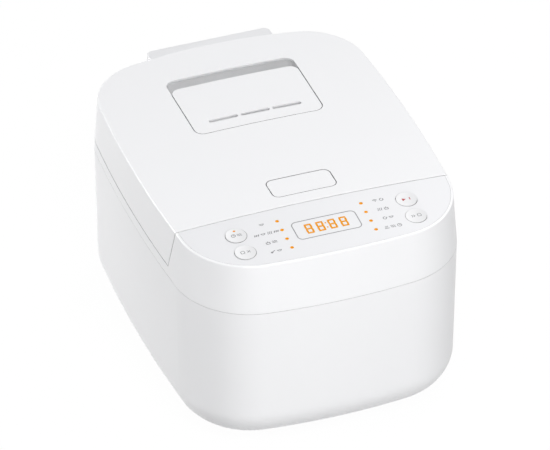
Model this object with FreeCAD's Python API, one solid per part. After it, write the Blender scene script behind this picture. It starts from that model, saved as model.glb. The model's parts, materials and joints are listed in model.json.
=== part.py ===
import FreeCAD, Part
import math
import os
from FreeCAD import Vector as V

# Rice cooker, four litres, built as separate pieces in millimetres.
# Frame: +X right, +Y back, +Z up; the origin is on the floor below the middle of the cooker.

# Overall form
BODY_WIDTH = 266.0
BODY_DEPTH = 339.0
HINGE_OVERHANG = 9.0
FOOT_HEIGHT = 4.0
CREST_Z = 202.0
LID_HEIGHT = 45.5
SEAM_DROP = 9.5
PANEL_LENGTH = 76.5
PANEL_TILT = 4.2
LID_RAKE = 11.0
CROWN_R = 1790.0
SIDE_BOW_R = 1450.0
FRONT_BOW_R = 560.0
BACK_BOW_R = 617.0
FRONT_CORNER_R = 70.0
REAR_CORNER_R = 57.0
BOTTOM_R = 32.0
UPPER_DRAFT = 0.073
LOWER_DRAFT = 0.018
WALL = 2.5
RIM_ROUND = 1.2
LID_GAP = 0.4
FIT_GAP = 0.2
SEAT_GAP = 0.3
LIP_H = 6.0
LIP_SHELF = 1.5
CUT_REACH = 20.0

# Base
BASE_INSET = 36.0
BASE_LEDGE = 8.0
BASE_T = 2.5
FOOT_R = 9.0
FOOT_EDGE = 1.5
FOOT_SIDE_IN = 61.0
FOOT_FRONT_IN = 62.0
FOOT_REAR_IN = 61.0
BASE_SCREW_STEP = 32.0
BASE_SCREW_R = 3.2
VENT_SLOT_W = 4.0
VENT_SLOT_L = 46.0
VENT_SLOT_PITCH = 9.0
VENT_SLOT_COUNT = 7

# Pot, well and heaters
POT_SIDE_ROOM = 26.5
POT_END_ROOM = 19.25
POT_FORWARD = 3.25
POT_WALL = 2.0
POT_BOTTOM_Z = 36.0
POT_BOTTOM_R = 26.0
POT_FLANGE = 8.5
POT_FLANGE_T = 2.0
DECK_DROP = 4.5
DECK_T = 2.5
DECK_RIM = 5.0
POT_HOLE_CLEAR = 1.5
WELL_GAP = 4.0
WELL_T = 1.0
WELL_FLOOR_Z = 22.0
WELL_FLANGE = 6.0
WELL_HOLE_R = 30.0
HEATER_IN = 20.5
HEATER_T = 8.0
HEATER_LEG_R = 5.0
HEATER_LEG_IN = 20.0
HEATER_BORE_R = 19.0
ELEMENT_STEP = 16.0
ELEMENT_WIRE_R = 3.6
BAND_Z = 78.0
BAND_H = 42.0
BAND_T = 0.8
SENSOR_R = 17.5
SENSOR_H = 9.0
SENSOR_WALL = 1.0
SPRING_R = 8.0
SPRING_WIRE_R = 0.7
SPRING_TURNS = 4
HOLDER_R = 36.0
HOLDER_T = 2.0
FUSE_R = 2.0
FUSE_L = 14.0
FUSE_STEP = 12.0

# Boards
BOARD_T = 1.6
CONTROL_BOARD_END = 16.0
CONTROL_BOARD_L = 44.0
CONTROL_BOARD_DROP = 13.0
POWER_BOARD_W = 112.0
POWER_BOARD_L = 44.0
POWER_BOARD_IN = 70.0
POWER_BOARD_Z = 36.0
POST_R = 4.0
BOARD_SCREW_R = 2.6
BOARD_SCREW_IN = 5.0
CONTROL_SCREW_IN = 30.0
RELAY_X = -30.0
RELAY_W = 20.0
RELAY_L = 16.0
RELAY_H = 16.0
TRANSFORMER_X = 2.0
TRANSFORMER_W = 24.0
TRANSFORMER_L = 22.0
TRANSFORMER_H = 18.0
CAPACITOR_X = 26.0
CAPACITOR_Y = 8.0
CAPACITOR_R = 6.0
CAPACITOR_H = 20.0
SINK_X = 35.5
SINK_Y = -7.0
SINK_T = 3.0
SINK_L = 18.0
SINK_H = 22.0
SWITCH_W = 6.0
SWITCH_H = 2.2
SWITCH_TOP = 4.0
PLUNGER_R = 1.7
BUZZER_X = 58.0
BUZZER_R = 6.0
BUZZER_H = 7.0

# Control panel
PANEL_T = 2.4
PANEL_INSET = 2.2
PANEL_LEDGE = 4.0
DISPLAY_W = 58.8
DISPLAY_L = 23.7
DISPLAY_R = 4.5
DISPLAY_S = -35.3
MODULE_IN_X = 4.4
MODULE_IN_Y = 2.85
MODULE_GAP = 0.4
LED_X = 38.9
LED_FIRST_S = -16.6
LED_PITCH = 12.5
LED_COUNT = 4
LED_R = 1.6
KEY_SIDE_IN = 54.0
KEY_REAR_S = -22.8
KEY_FRONT_S = -46.6
KEY_R = 9.3
KEY_GAP = 0.35
KEY_PROUD = 0.5
KEY_DOME = 0.7
KEY_H = 4.0
KEY_TOP_T = 1.4
KEY_SKIRT_T = 1.2
KEY_TRAVEL = 0.8
KEY_STEM_R = 2.5
TIMER_LAMP_R = 0.9
TIMER_LAMP_S = 5.6

# Steam vent in the lid
VENT_W = 121.0
VENT_LENGTH = 88.0
VENT_REAR_IN = 46.0
VENT_R = 9.0
VENT_GUTTER = 14.0
VENT_DEPTH = 27.0
VENT_WALL = 1.8
VENT_PLATE_T = 2.2
STEAM_SLOT_MARGIN = 17.0
STEAM_SLOT_W = 4.2
STEAM_SLOT_GAP = 2.4
STEAM_SLOT_IN = 16.5
VENT_BOX_SIDE = 12.5
VENT_BOX_END = 12.0
VENT_BOX_R = 5.0
VENT_BOX_T = 1.5
VENT_BOX_H = 16.0
STEAM_BORE_R = 9.0
STEAM_TUBE_T = 1.6
SPOUT_GAP = 1.2
SPOUT_T = 1.2

# Lid release
RELEASE_W = 59.0
RELEASE_L = 26.0
RELEASE_R = 6.0
RELEASE_FRONT = 15.0
RELEASE_T = 2.2
RELEASE_GAP = 0.6
RELEASE_SKIRT = 5.0
RELEASE_WALL = 1.5
PIVOT_R = 1.6
PIVOT_GAP = 0.05
PIVOT_IN = 3.0
PIVOT_DROP = 3.5
PIVOT_STUB = 3.0
BRACKET_T = 2.0
BRACKET_DEPTH = 38.0
BRACKET_EDGE = 0.8
BRACKET_GAP = 1.0
BRACKET_LEG_R = 3.0
BRACKET_LEG_IN = 6.0
RELEASE_RIB_IN = 3.2
RELEASE_RIB_T = 2.5
RELEASE_RIB_H = 12.0
LATCH_W = 12.0
LATCH_T = 3.5
LATCH_LENGTH = 31.0
LATCH_SLOPE = 0.5
LATCH_CLEAR = 0.4
LATCH_WEDGE_W = 6.0
LATCH_WEDGE_BACK = 12.0
LATCH_POCKET_GAP = 2.0
LATCH_POCKET_H = 22.0
RELEASE_SPRING_R = 3.5
RELEASE_SPRING_X = 20.0
RELEASE_SPRING_TURNS = 8
KEEPER_T = 1.2
KEEPER_H = 6.0
KEEPER_LAP = 3.0

# Lid inside
LINER_T = 2.5
INNER_PLATE_GAP = 3.5
INNER_PLATE_T = 1.2
INNER_PLATE_LIP = 6.0
INNER_PLATE_DIP = 3.0
LID_HEATER_IN = 9.0
LID_HEATER_W = 34.0
LID_HEATER_T = 0.8
SEAL_LAP = 2.5
LID_BOSS_R = 4.5
LID_BOSS_SIDE_IN = 33.0
LID_BOSS_SPREAD = 70.0

# Hinge
HINGE_DROP = 6.5
HINGE_AXIS_IN = 4.5
HINGE_BARREL_R = 4.2
HINGE_PIN_R = 2.0
HINGE_COVER_ROOT = 12.0
HINGE_COVER_SIDE = 1.75
HINGE_COVER_DROP = 3.0
HINGE_COVER_CORNER_R = 6.5
HINGE_COVER_EDGE_R = 1.5
EAR_X = 40.0
EAR_W = 9.0
KNUCKLE_GAP = 0.4
TORSION_X = 23.0
TORSION_L = 15.0
TORSION_WIRE_R = 0.55
TORSION_TURNS = 9

# Mains inlet
INLET_SIDE_IN = 71.0
INLET_Z = 62.0
INLET_W = 30.0
INLET_H = 24.0
INLET_DEPTH = 18.0
INLET_CAVITY_W = 24.4
INLET_CAVITY_H = 16.8
INLET_CAVITY_DEPTH = 15.0
INLET_CHAMFER = 4.5
INLET_SET_BACK = 1.0
INLET_PIN_W = 2.0
INLET_PIN_H = 4.0
INLET_PIN_PITCH = 7.0
INLET_PIN_STAGGER = 2.0
INLET_PIN_IN = 3.0

# Places worked out from the sizes above
FRONT_Y = -(BODY_DEPTH + HINGE_OVERHANG) / 2.0
BACK_Y = FRONT_Y + BODY_DEPTH
LID_FRONT_Y = FRONT_Y + PANEL_LENGTH
SHELL_BOTTOM_Z = FOOT_HEIGHT
MIDDLE_Y = (FRONT_Y + BACK_Y) / 2.0
HALF_W = BODY_WIDTH / 2.0
PARTING_Z = CREST_Z - LID_HEIGHT
SEAM_Z = PARTING_Z - SEAM_DROP
DECK_Z = PARTING_Z - DECK_DROP
HINGE_Y = BACK_Y + HINGE_OVERHANG - HINGE_AXIS_IN
HINGE_Z = PARTING_Z - HINGE_DROP
LID_BOTTOM_Z = PARTING_Z + LID_GAP
BASE_TOP_Z = SHELL_BOTTOM_Z + BASE_T
FAR = 2.0 * BODY_DEPTH
ABOVE_Z = CREST_Z + CUT_REACH
FOOT_X = HALF_W - FOOT_SIDE_IN
FOOT_FRONT_Y = FRONT_Y + FOOT_FRONT_IN
FOOT_REAR_Y = BACK_Y - FOOT_REAR_IN
BASE_SCREW_X = FOOT_X - BASE_SCREW_STEP
LID_ROOM_Y = (BACK_Y + LID_FRONT_Y + LID_RAKE) / 2.0
LID_ROOM_L = BACK_Y - LID_FRONT_Y - LID_RAKE
POT_Y = LID_ROOM_Y - POT_FORWARD
POT_R = min(HALF_W - POT_SIDE_ROOM, LID_ROOM_L / 2.0 - POT_END_ROOM)
POT_FLANGE_R = POT_R + POT_FLANGE
HEATER_R = POT_R - HEATER_IN
HEATER_LEG_AT = HEATER_R - HEATER_LEG_IN
ELEMENT_R = HEATER_LEG_AT - ELEMENT_STEP
INNER_PLATE_R = POT_R - POT_WALL - INNER_PLATE_GAP
SEAL_OUT_R = POT_R + SEAL_LAP
LID_HEATER_R = INNER_PLATE_R - LID_HEATER_IN
LID_BOSS_X = HALF_W - LID_BOSS_SIDE_IN
KEY_X = HALF_W - KEY_SIDE_IN
CONTROL_BOARD_W = 2.0 * (KEY_X + CONTROL_BOARD_END)
POWER_BOARD_Y = FRONT_Y + POWER_BOARD_IN
VENT_REAR_Y = BACK_Y - VENT_REAR_IN
VENT_FRONT_Y = VENT_REAR_Y - VENT_LENGTH
VENT_BOX_W = VENT_W - 2.0 * VENT_BOX_SIDE
VENT_BOX_L = VENT_LENGTH - VENT_GUTTER - 2.0 * VENT_BOX_END
STEAM_SLOT_L = (VENT_W - 2.0 * STEAM_SLOT_MARGIN - 2.0 * STEAM_SLOT_GAP) / 3.0
HINGE_COVER_W = VENT_W - 2.0 * HINGE_COVER_SIDE
INLET_X = HALF_W - INLET_SIDE_IN


def box(x0, x1, y0, y1, z0, z1):
    return Part.makeBox(x1 - x0, y1 - y0, z1 - z0, V(x0, y0, z0))


def block(x, y, width, length, z, height):
    """Block centred on x, y that stands on z."""
    return Part.makeBox(width, length, height, V(x - width / 2, y - length / 2, z))


def rod(x, y, z0, z1, radius):
    return Part.makeCylinder(radius, z1 - z0, V(x, y, z0))


def cross_rod(x0, x1, y, z, radius):
    """Round bar along X."""
    return Part.makeCylinder(radius, x1 - x0, V(x0, y, z), V(1, 0, 0))


def tube(x, y, z0, z1, outer, inner):
    return rod(x, y, z0, z1, outer).cut(rod(x, y, z0 - 1, z1 + 1, inner))


def rounded_block(x, y, width, length, radius, z0, z1):
    """Block with round vertical corners, centred on x, y."""
    blank = block(x, y, width, length, z0, z1 - z0)
    upright = [e for e in blank.Edges if abs(e.tangentAt(e.FirstParameter).z) > 0.9]
    return blank.makeFillet(radius, upright)


def side_prism(points, x0, x1):
    """Prism along X with a straight-sided outline given as (y, z) points."""
    corners = [V(x0, y, z) for y, z in points]
    face = Part.Face(Part.makePolygon(corners + corners[:1]))
    return face.extrude(V(x1 - x0, 0, 0))


def turned(points, x, y):
    """Solid of revolution about a vertical axis, from (radius, z) points."""
    corners = [V(x + r, y, z) for r, z in points]
    face = Part.Face(Part.makePolygon(corners + corners[:1]))
    return face.revolve(V(x, y, 0), V(0, 0, 1), 360)


def fused(shapes):
    return shapes[0].multiFuse(shapes[1:]).removeSplitter() if len(shapes) > 1 else shapes[0]


def group(shapes):
    return Part.makeCompound(shapes)


def save(name, shape):
    solids = shape.Solids
    kept = solids[0] if len(solids) == 1 else Part.makeCompound(solids)
    state = "valid" if kept.isValid() else "NOT VALID"
    print(name, len(solids), "solids", round(kept.Volume), "mm3", state)
    kept.exportStep("parts/%s.step" % name)


# The plan: eight tangent arcs, so an offset only changes each arc's radius

def corner_centre(end, end_r, side, side_r, corner_r, near):
    """Centre of the corner arc that lies inside the end arc and the side arc, on the side of near."""
    along = side - end
    apart = along.Length
    along = along / apart
    reach = end_r - corner_r
    step = (reach ** 2 - (side_r - corner_r) ** 2 + apart ** 2) / (2 * apart)
    across = V(-along.y, along.x, 0) * math.sqrt(reach ** 2 - step ** 2)
    meetings = (end + along * step + across, end + along * step - across)
    return min(meetings, key=lambda c: c.distanceToPoint(near))


def heading(start, end):
    return math.atan2(end.y - start.y, end.x - start.x)


def bow(centre, radius, from_angle, to_angle, z):
    """Arc in plan, anticlockwise."""
    angles = (from_angle, (from_angle + to_angle) / 2.0, to_angle)
    ends = [V(centre.x + radius * math.cos(a), centre.y + radius * math.sin(a), z) for a in angles]
    return Part.Arc(*ends).toShape()


def outline(inset, z):
    """Outline of the cooker in plan, moved inwards by inset."""
    front = V(0, FRONT_Y + FRONT_BOW_R, 0)
    back = V(0, BACK_Y - BACK_BOW_R, 0)
    right = V(HALF_W - SIDE_BOW_R, MIDDLE_Y, 0)
    low = corner_centre(front, FRONT_BOW_R, right, SIDE_BOW_R, FRONT_CORNER_R,
                        V(HALF_W - FRONT_CORNER_R, FRONT_Y + FRONT_CORNER_R, 0))
    high = corner_centre(back, BACK_BOW_R, right, SIDE_BOW_R, REAR_CORNER_R,
                         V(HALF_W - REAR_CORNER_R, BACK_Y - REAR_CORNER_R, 0))
    front_turn = heading(front, low)
    side_low = heading(right, low)
    side_high = heading(right, high)
    back_turn = heading(back, high)
    left = V(-right.x, right.y, 0)
    arcs = [
        (front, FRONT_BOW_R, -math.pi - front_turn, front_turn),
        (low, FRONT_CORNER_R, front_turn, side_low),
        (right, SIDE_BOW_R, side_low, side_high),
        (high, REAR_CORNER_R, side_high, back_turn),
        (back, BACK_BOW_R, back_turn, math.pi - back_turn),
        (V(-high.x, high.y, 0), REAR_CORNER_R, math.pi - back_turn, math.pi - side_high),
        (left, SIDE_BOW_R, math.pi - side_high, math.pi - side_low),
        (V(-low.x, low.y, 0), FRONT_CORNER_R, math.pi - side_low, math.pi - front_turn),
    ]
    return Part.Wire([bow(c, r - inset, a, b, z) for c, r, a, b in arcs])


def plate(inset, z0, z1):
    """Flat plate of the plan's shape."""
    return Part.Face(outline(inset, z0)).extrude(V(0, 0, z1 - z0))


def wall_inset(z):
    """How far the wall leans in from its widest line, which is the seam."""
    return UPPER_DRAFT * (z - SEAM_Z) if z >= SEAM_Z else LOWER_DRAFT * (SEAM_Z - z)


def tapered(skin, z0, z1):
    """Solid inside the cooker's wall between two heights, with the wall moved in by skin."""
    low = outline(wall_inset(z0) + skin, z0)
    high = outline(wall_inset(z1) + skin, z1)
    return Part.makeLoft([low, high], True, True)


def lower_form(skin, floor_z, top_z):
    """Lower body with its large bottom round, moved in by skin."""
    form = tapered(skin, floor_z, top_z)
    rim = [e for e in form.Edges if e.BoundBox.ZMax < floor_z + 0.01]
    return form.makeFillet(BOTTOM_R - skin, rim)


# The top: a shallow crown across the lid, tipped forwards over the control panel

def crown(drop):
    """Everything below the lid's crowned top, lowered by drop."""
    return Part.makeCylinder(CROWN_R - drop, 2 * FAR, V(0, -FAR, CREST_Z - CROWN_R), V(0, 1, 0))


def tipped(shape):
    """Moves a shape made level, behind the lid's front edge, onto the tilted panel."""
    moved = shape.copy()
    moved.rotate(V(0, LID_FRONT_Y, CREST_Z), V(1, 0, 0), PANEL_TILT)
    return moved


def crown_drop(x):
    return CROWN_R - math.sqrt(CROWN_R ** 2 - x ** 2)


def lid_front_at(z):
    """Raked front face of the lid, at a height."""
    return LID_FRONT_Y + LID_RAKE * (CREST_Z - z) / (CREST_Z - PARTING_Z)


def lid_space(shift):
    """Space of the lid, with its front and its underside moved in by shift."""
    low = PARTING_Z + shift
    high = ABOVE_Z + CUT_REACH
    front_low = lid_front_at(low) + shift
    front_high = lid_front_at(high) + shift
    return side_prism([(front_low, low), (FAR, low), (FAR, high), (front_high, high)], -FAR, FAR)


def on_crown(edge, drop):
    middle = edge.valueAt((edge.FirstParameter + edge.LastParameter) / 2)
    reach = math.hypot(middle.x, middle.z - CREST_Z + CROWN_R)
    return abs(reach - CROWN_R + drop) < 0.01


# Casing

def make_lower_shell():
    floor = SHELL_BOTTOM_Z
    shell = lower_form(0, floor, SEAM_Z - SEAT_GAP)
    shell = shell.cut(lower_form(WALL, floor + 2 * BASE_T, SEAM_Z + 1))
    shell = shell.cut(plate(BASE_INSET - FIT_GAP, floor - 1, BASE_TOP_Z))
    shell = shell.cut(plate(BASE_INSET + BASE_LEDGE, floor - 1, floor + 4 * BASE_T))
    window = box(INLET_X - INLET_W / 2 - FIT_GAP, INLET_X + INLET_W / 2 + FIT_GAP, MIDDLE_Y, FAR,
                 INLET_Z - INLET_H / 2 - FIT_GAP, INLET_Z + INLET_H / 2 + FIT_GAP)
    shell = shell.cut(window)
    return shell


def make_upper_frame():
    top = ABOVE_Z
    body = tapered(0, SEAM_Z, top).common(tipped(crown(0)))
    body = body.cut(lid_space(-LID_GAP))
    front_edges = [e for e in body.Edges if on_panel_rim(e)]
    body = body.makeFillet(RIM_ROUND, front_edges)
    # seat of the control panel, and the space below it
    body = body.cut(tapered(PANEL_INSET, SEAM_Z, top).cut(tipped(crown(PANEL_T + FIT_GAP / 2))))
    behind_panel = lid_space(-LID_GAP - WALL)
    front_room = tapered(WALL, SEAM_Z - 1, top).common(tipped(crown(PANEL_T + WALL))).cut(behind_panel)
    mouth = tapered(PANEL_INSET + PANEL_LEDGE, SEAM_Z, top).cut(behind_panel)
    body = body.cut(front_room.fuse(mouth))
    # recess for the lid above the deck, and the hollow below it
    deck_front = lid_front_at(PARTING_Z) + DECK_RIM
    recess = tapered(DECK_RIM, DECK_Z, top).common(box(-FAR, FAR, deck_front, FAR, DECK_Z, top))
    under = tapered(WALL, SEAM_Z - 1, DECK_Z - DECK_T)
    body = body.cut(recess).cut(under)
    body = body.cut(rod(0, POT_Y, SEAM_Z - 1, top, POT_R + POT_HOLE_CLEAR))
    lip = plate(WALL + FIT_GAP, SEAM_Z - LIP_H, SEAM_Z + 1)
    lip = lip.fuse(plate(WALL / 2, SEAM_Z, SEAM_Z + LIP_SHELF))
    lip = lip.cut(plate(2 * WALL + FIT_GAP, SEAM_Z - 2 * LIP_H, SEAM_Z + 2 * LIP_SHELF))
    lip = lip.cut(rod(0, POT_Y, SEAM_Z - 2 * LIP_H, top, POT_R + WELL_GAP + WELL_T + WELL_FLANGE + FIT_GAP))
    ears = [hinge_ear(x) for x in (-EAR_X - EAR_W, EAR_X)]
    body = fused([body, lip] + ears)
    half = LATCH_W / 2 + LATCH_POCKET_GAP
    pocket = box(-half, half, LID_FRONT_Y - LATCH_POCKET_GAP, lid_front_at(latch_low()) + LATCH_POCKET_GAP,
                 latch_low() - LATCH_POCKET_GAP, latch_low() + LATCH_POCKET_H)
    return body.cut(pocket)


def on_panel_rim(edge):
    """Long edges round the front of the sloping top."""
    reach = edge.BoundBox
    high = reach.ZMin > PARTING_Z + 1 and reach.ZLength < 12
    return high and reach.XLength > 10 and reach.YMin < LID_FRONT_Y - 20 and reach.YMax < LID_FRONT_Y + 1


def hinge_ear(x0):
    """Ear on the rear wall that carries the hinge pin."""
    barrel = cross_rod(x0, x0 + EAR_W, HINGE_Y, HINGE_Z, HINGE_BARREL_R)
    root_y = BACK_Y - WALL
    arm = box(x0, x0 + EAR_W, root_y, HINGE_Y, HINGE_Z - HINGE_BARREL_R + 1, HINGE_Z + HINGE_BARREL_R - 1)
    bore = cross_rod(x0 - 1, x0 + EAR_W + 1, HINGE_Y, HINGE_Z, HINGE_PIN_R + PIVOT_GAP)
    return barrel.fuse(arm).cut(bore)


def make_control_panel():
    top = ABOVE_Z
    panel = tapered(PANEL_INSET + FIT_GAP, SEAM_Z, top).common(tipped(crown(0))).cut(tipped(crown(PANEL_T)))
    panel = panel.cut(lid_space(-LID_GAP))
    low = CREST_Z - CUT_REACH
    high = ABOVE_Z
    cuts = [rounded_block(0, LID_FRONT_Y + DISPLAY_S, DISPLAY_W + 2 * FIT_GAP, DISPLAY_L + 2 * FIT_GAP,
                          DISPLAY_R, low, high)]
    cuts += [rod(x, LID_FRONT_Y + s, low, high, KEY_R + KEY_GAP) for x, s in key_places()]
    cuts += [rod(x, LID_FRONT_Y + s, low, high, LED_R + FIT_GAP / 2) for x, s in lamp_places()]
    panel = panel.cut(tipped(group(cuts)))
    posts = [rod(x, y, CREST_Z - CONTROL_BOARD_DROP, CREST_Z - crown_drop(x) - PANEL_T + 0.5, POST_R)
             for x, y in board_screw_places()]
    return fused([panel] + [tipped(p) for p in posts])


def make_base_plate():
    floor = plate(BASE_INSET, SHELL_BOTTOM_Z, BASE_TOP_Z)
    first = -(VENT_SLOT_COUNT - 1) / 2.0 * VENT_SLOT_PITCH
    slots = [rounded_block(first + i * VENT_SLOT_PITCH, POT_Y, VENT_SLOT_W, VENT_SLOT_L,
                           VENT_SLOT_W / 2 - 0.1, SHELL_BOTTOM_Z - 1, BASE_TOP_Z + 1)
             for i in range(VENT_SLOT_COUNT)]
    floor = floor.cut(group(slots))
    posts = [rod(x, y, BASE_TOP_Z - 0.5, POWER_BOARD_Z, POST_R) for x, y in power_screw_places()]
    stands = [rod(x, y, BASE_TOP_Z - 0.5, WELL_FLOOR_Z, POST_R) for x, y in well_stand_places()]
    return fused([floor] + posts + stands)


def foot_places():
    return [(x, y) for x in (-FOOT_X, FOOT_X) for y in (FOOT_FRONT_Y, FOOT_REAR_Y)]


def make_feet():
    profile = [(0, 0), (FOOT_R - FOOT_EDGE, 0), (FOOT_R, FOOT_EDGE), (FOOT_R, FOOT_HEIGHT), (0, FOOT_HEIGHT)]
    return group([turned(profile, x, y) for x, y in foot_places()])


def base_screw_places():
    return [(x, y) for x in (-BASE_SCREW_X, BASE_SCREW_X) for y in (FOOT_FRONT_Y, FOOT_REAR_Y)]


def make_base_screws():
    return group([pan_head(x, y, SHELL_BOTTOM_Z, -1, BASE_SCREW_R) for x, y in base_screw_places()])


def pan_head(x, y, z, side, radius):
    """Screw head that sits on a flat face at z and stands off on one side."""
    head = rod(x, y, min(z, z + side * radius / 2), max(z, z + side * radius / 2), radius)
    drive = box(x - radius * 0.7, x + radius * 0.7, y - radius * 0.14, y + radius * 0.14,
                z + side * radius / 2 - radius / 5, z + side * radius / 2 + radius / 5)
    return head.cut(drive)


# Pot, well, heaters and sensor

def make_inner_pot():
    top = DECK_Z + POT_FLANGE_T
    outer = turned([(0, POT_BOTTOM_Z), (POT_R, POT_BOTTOM_Z), (POT_R, DECK_Z), (POT_FLANGE_R, DECK_Z),
                    (POT_FLANGE_R, top), (0, top)], 0, POT_Y)
    outer = outer.makeFillet(POT_BOTTOM_R, ring_edges(outer, POT_R, POT_BOTTOM_Z))
    floor = POT_BOTTOM_Z + POT_WALL
    bore = POT_R - POT_WALL
    inner = rod(0, POT_Y, floor, top + 1, bore)
    inner = inner.makeFillet(POT_BOTTOM_R - POT_WALL, ring_edges(inner, bore, floor))
    pot = outer.cut(inner)
    rim = ring_edges(pot, POT_FLANGE_R, top) + ring_edges(pot, bore, top)
    return pot.makeFillet(POT_FLANGE_T * 0.4, rim)


def ring_edges(shape, radius, z):
    """Round horizontal edges of a radius at a height."""
    return [e for e in shape.Edges if hasattr(e.Curve, "Radius") and abs(e.Curve.Radius - radius) < 0.01
            and abs(e.BoundBox.ZMin - z) < 0.01 and abs(e.BoundBox.ZMax - z) < 0.01]


def well_radius():
    return POT_R + WELL_GAP


def make_pot_well():
    inside = well_radius()
    outside = inside + WELL_T
    high = DECK_Z - DECK_T
    return turned([(WELL_HOLE_R, WELL_FLOOR_Z), (outside, WELL_FLOOR_Z), (outside, high - WELL_T),
                   (outside + WELL_FLANGE, high - WELL_T), (outside + WELL_FLANGE, high), (inside, high),
                   (inside, WELL_FLOOR_Z + WELL_T), (WELL_HOLE_R, WELL_FLOOR_Z + WELL_T)], 0, POT_Y)


def spokes(count, radius, start=90.0):
    """Places spread evenly round the pot's axis."""
    angles = [math.radians(start + 360.0 * i / count) for i in range(count)]
    return [(radius * math.cos(a), POT_Y + radius * math.sin(a)) for a in angles]


def well_stand_places():
    return spokes(3, HEATER_LEG_AT, 30.0)


def heater_top():
    return POT_BOTTOM_Z - SEAT_GAP


def make_heating_plate():
    top = heater_top()
    low = top - HEATER_T
    disc = tube(0, POT_Y, low, top, HEATER_R, HEATER_BORE_R)
    disc = disc.makeChamfer(2.0, ring_edges(disc, HEATER_R, top))
    groove = Part.makeTorus(ELEMENT_R, ELEMENT_WIRE_R + 0.1, V(0, POT_Y, low), V(0, 0, 1))
    legs = [rod(x, y, WELL_FLOOR_Z + WELL_T, low + 1, HEATER_LEG_R) for x, y in spokes(3, HEATER_LEG_AT)]
    return fused([disc.cut(groove)] + legs)


def make_heater_element():
    return Part.makeTorus(ELEMENT_R, ELEMENT_WIRE_R, V(0, POT_Y, heater_top() - HEATER_T), V(0, 0, 1))


def make_side_heater():
    inside = well_radius() + WELL_T
    return tube(0, POT_Y, BAND_Z, BAND_Z + BAND_H, inside + BAND_T, inside)


def make_sensor_holder():
    low = WELL_FLOOR_Z - HOLDER_T
    dish = rod(0, POT_Y, low, WELL_FLOOR_Z, HOLDER_R)
    guide = rod(0, POT_Y, WELL_FLOOR_Z - 0.5, WELL_FLOOR_Z + 2, SPRING_R - 2)
    return fused([dish, guide])


def sensor_low():
    return heater_top() - SENSOR_H


def make_sensor_cap():
    top = heater_top()
    low = sensor_low()
    hollow = rod(0, POT_Y, low - 1, top - SENSOR_WALL, SENSOR_R - SENSOR_WALL)
    cap = rod(0, POT_Y, low, top, SENSOR_R).cut(hollow)
    return cap.makeFillet(SENSOR_WALL * 0.8, ring_edges(cap, SENSOR_R, top))


def coil(radius, wire, turns, start, axis, length, side):
    """Wire wound round an axis from start; each quarter turn is one arc."""
    other = axis.cross(side)

    def at(turn):
        angle = 2 * math.pi * turn
        round_axis = side * (radius * math.cos(angle)) + other * (radius * math.sin(angle))
        return start + axis * (length * turn / turns) + round_axis

    quarters = range(4 * turns)
    bends = [Part.Arc(at(q / 4.0), at((q + 0.5) / 4.0), at((q + 1) / 4.0)) for q in quarters]
    arcs = [bend.toShape() for bend in bends]
    path = Part.Wire(arcs)
    tangent = arcs[0].tangentAt(arcs[0].FirstParameter)
    section = Part.Wire(Part.makeCircle(wire, at(0), tangent))
    pipe = Part.BRepOffsetAPI.MakePipeShell(path)
    pipe.add(section)
    pipe.build()
    pipe.makeSolid()
    return pipe.shape()


def make_sensor_spring():
    low = WELL_FLOOR_Z + SPRING_WIRE_R
    high = heater_top() - SENSOR_WALL - SPRING_WIRE_R - SEAT_GAP
    return coil(SPRING_R, SPRING_WIRE_R, SPRING_TURNS, V(0, POT_Y, low), V(0, 0, 1), high - low, V(1, 0, 0))


def make_thermal_fuse():
    z = WELL_FLOOR_Z + WELL_T
    return cross_rod(-FUSE_L / 2, FUSE_L / 2, POT_Y - HEATER_LEG_AT - FUSE_STEP, z + FUSE_R + FIT_GAP, FUSE_R)


# Boards

def board_screw_places():
    across = CONTROL_BOARD_W / 2 - CONTROL_SCREW_IN
    along = CONTROL_BOARD_L / 2 - BOARD_SCREW_IN
    return [(x, LID_FRONT_Y + DISPLAY_S + y) for x in (-across, across) for y in (-along, along)]


def board_top():
    return CREST_Z - CONTROL_BOARD_DROP


def make_control_board():
    z = board_top()
    board = rounded_block(0, LID_FRONT_Y + DISPLAY_S, CONTROL_BOARD_W, CONTROL_BOARD_L, 3, z - BOARD_T, z)
    return tipped(board)


def make_board_screws():
    low = board_top() - BOARD_T
    heads = [tipped(pan_head(x, y, low, -1, BOARD_SCREW_R)) for x, y in board_screw_places()]
    heads += [pan_head(x, y, POWER_BOARD_Z + BOARD_T, 1, BOARD_SCREW_R) for x, y in power_screw_places()]
    return group(heads)


def key_places():
    return [(x, s) for x in (-KEY_X, KEY_X) for s in (KEY_REAR_S, KEY_FRONT_S)]


def lamp_places():
    return [(x, LED_FIRST_S - i * LED_PITCH) for x in (-LED_X, LED_X) for i in range(LED_COUNT)]


def key_switch_top():
    return board_top() + SWITCH_TOP


def make_tact_switches():
    parts = []
    for x, s in key_places():
        y = LID_FRONT_Y + s
        base = block(x, y, SWITCH_W, SWITCH_W, board_top(), SWITCH_H)
        plunger = rod(x, y, board_top() + SWITCH_H / 2, key_switch_top() - KEY_TRAVEL - SEAT_GAP, PLUNGER_R)
        parts.append(tipped(base.fuse(plunger)))
    return group(parts)


def make_display_module():
    y = LID_FRONT_Y + DISPLAY_S
    height = CREST_Z - PANEL_T - MODULE_GAP - board_top()
    return tipped(block(0, y, DISPLAY_W - 2 * MODULE_IN_X, DISPLAY_L - 2 * MODULE_IN_Y, board_top(), height))


def make_display_window():
    low = CREST_Z - PANEL_T
    window = rounded_block(0, LID_FRONT_Y + DISPLAY_S, DISPLAY_W, DISPLAY_L, DISPLAY_R, low, CREST_Z + 5)
    return tipped(window.common(crown(0)))


def make_indicator_lenses():
    lenses = [rod(x, LID_FRONT_Y + s, board_top(), CREST_Z + 5, LED_R) for x, s in lamp_places()]
    return group([tipped(lens.common(crown(0))) for lens in lenses])


def make_buzzer():
    y = LID_FRONT_Y + DISPLAY_S
    high = board_top() - BOARD_T
    return tipped(rod(BUZZER_X, y, high - BUZZER_H, high, BUZZER_R))


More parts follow.
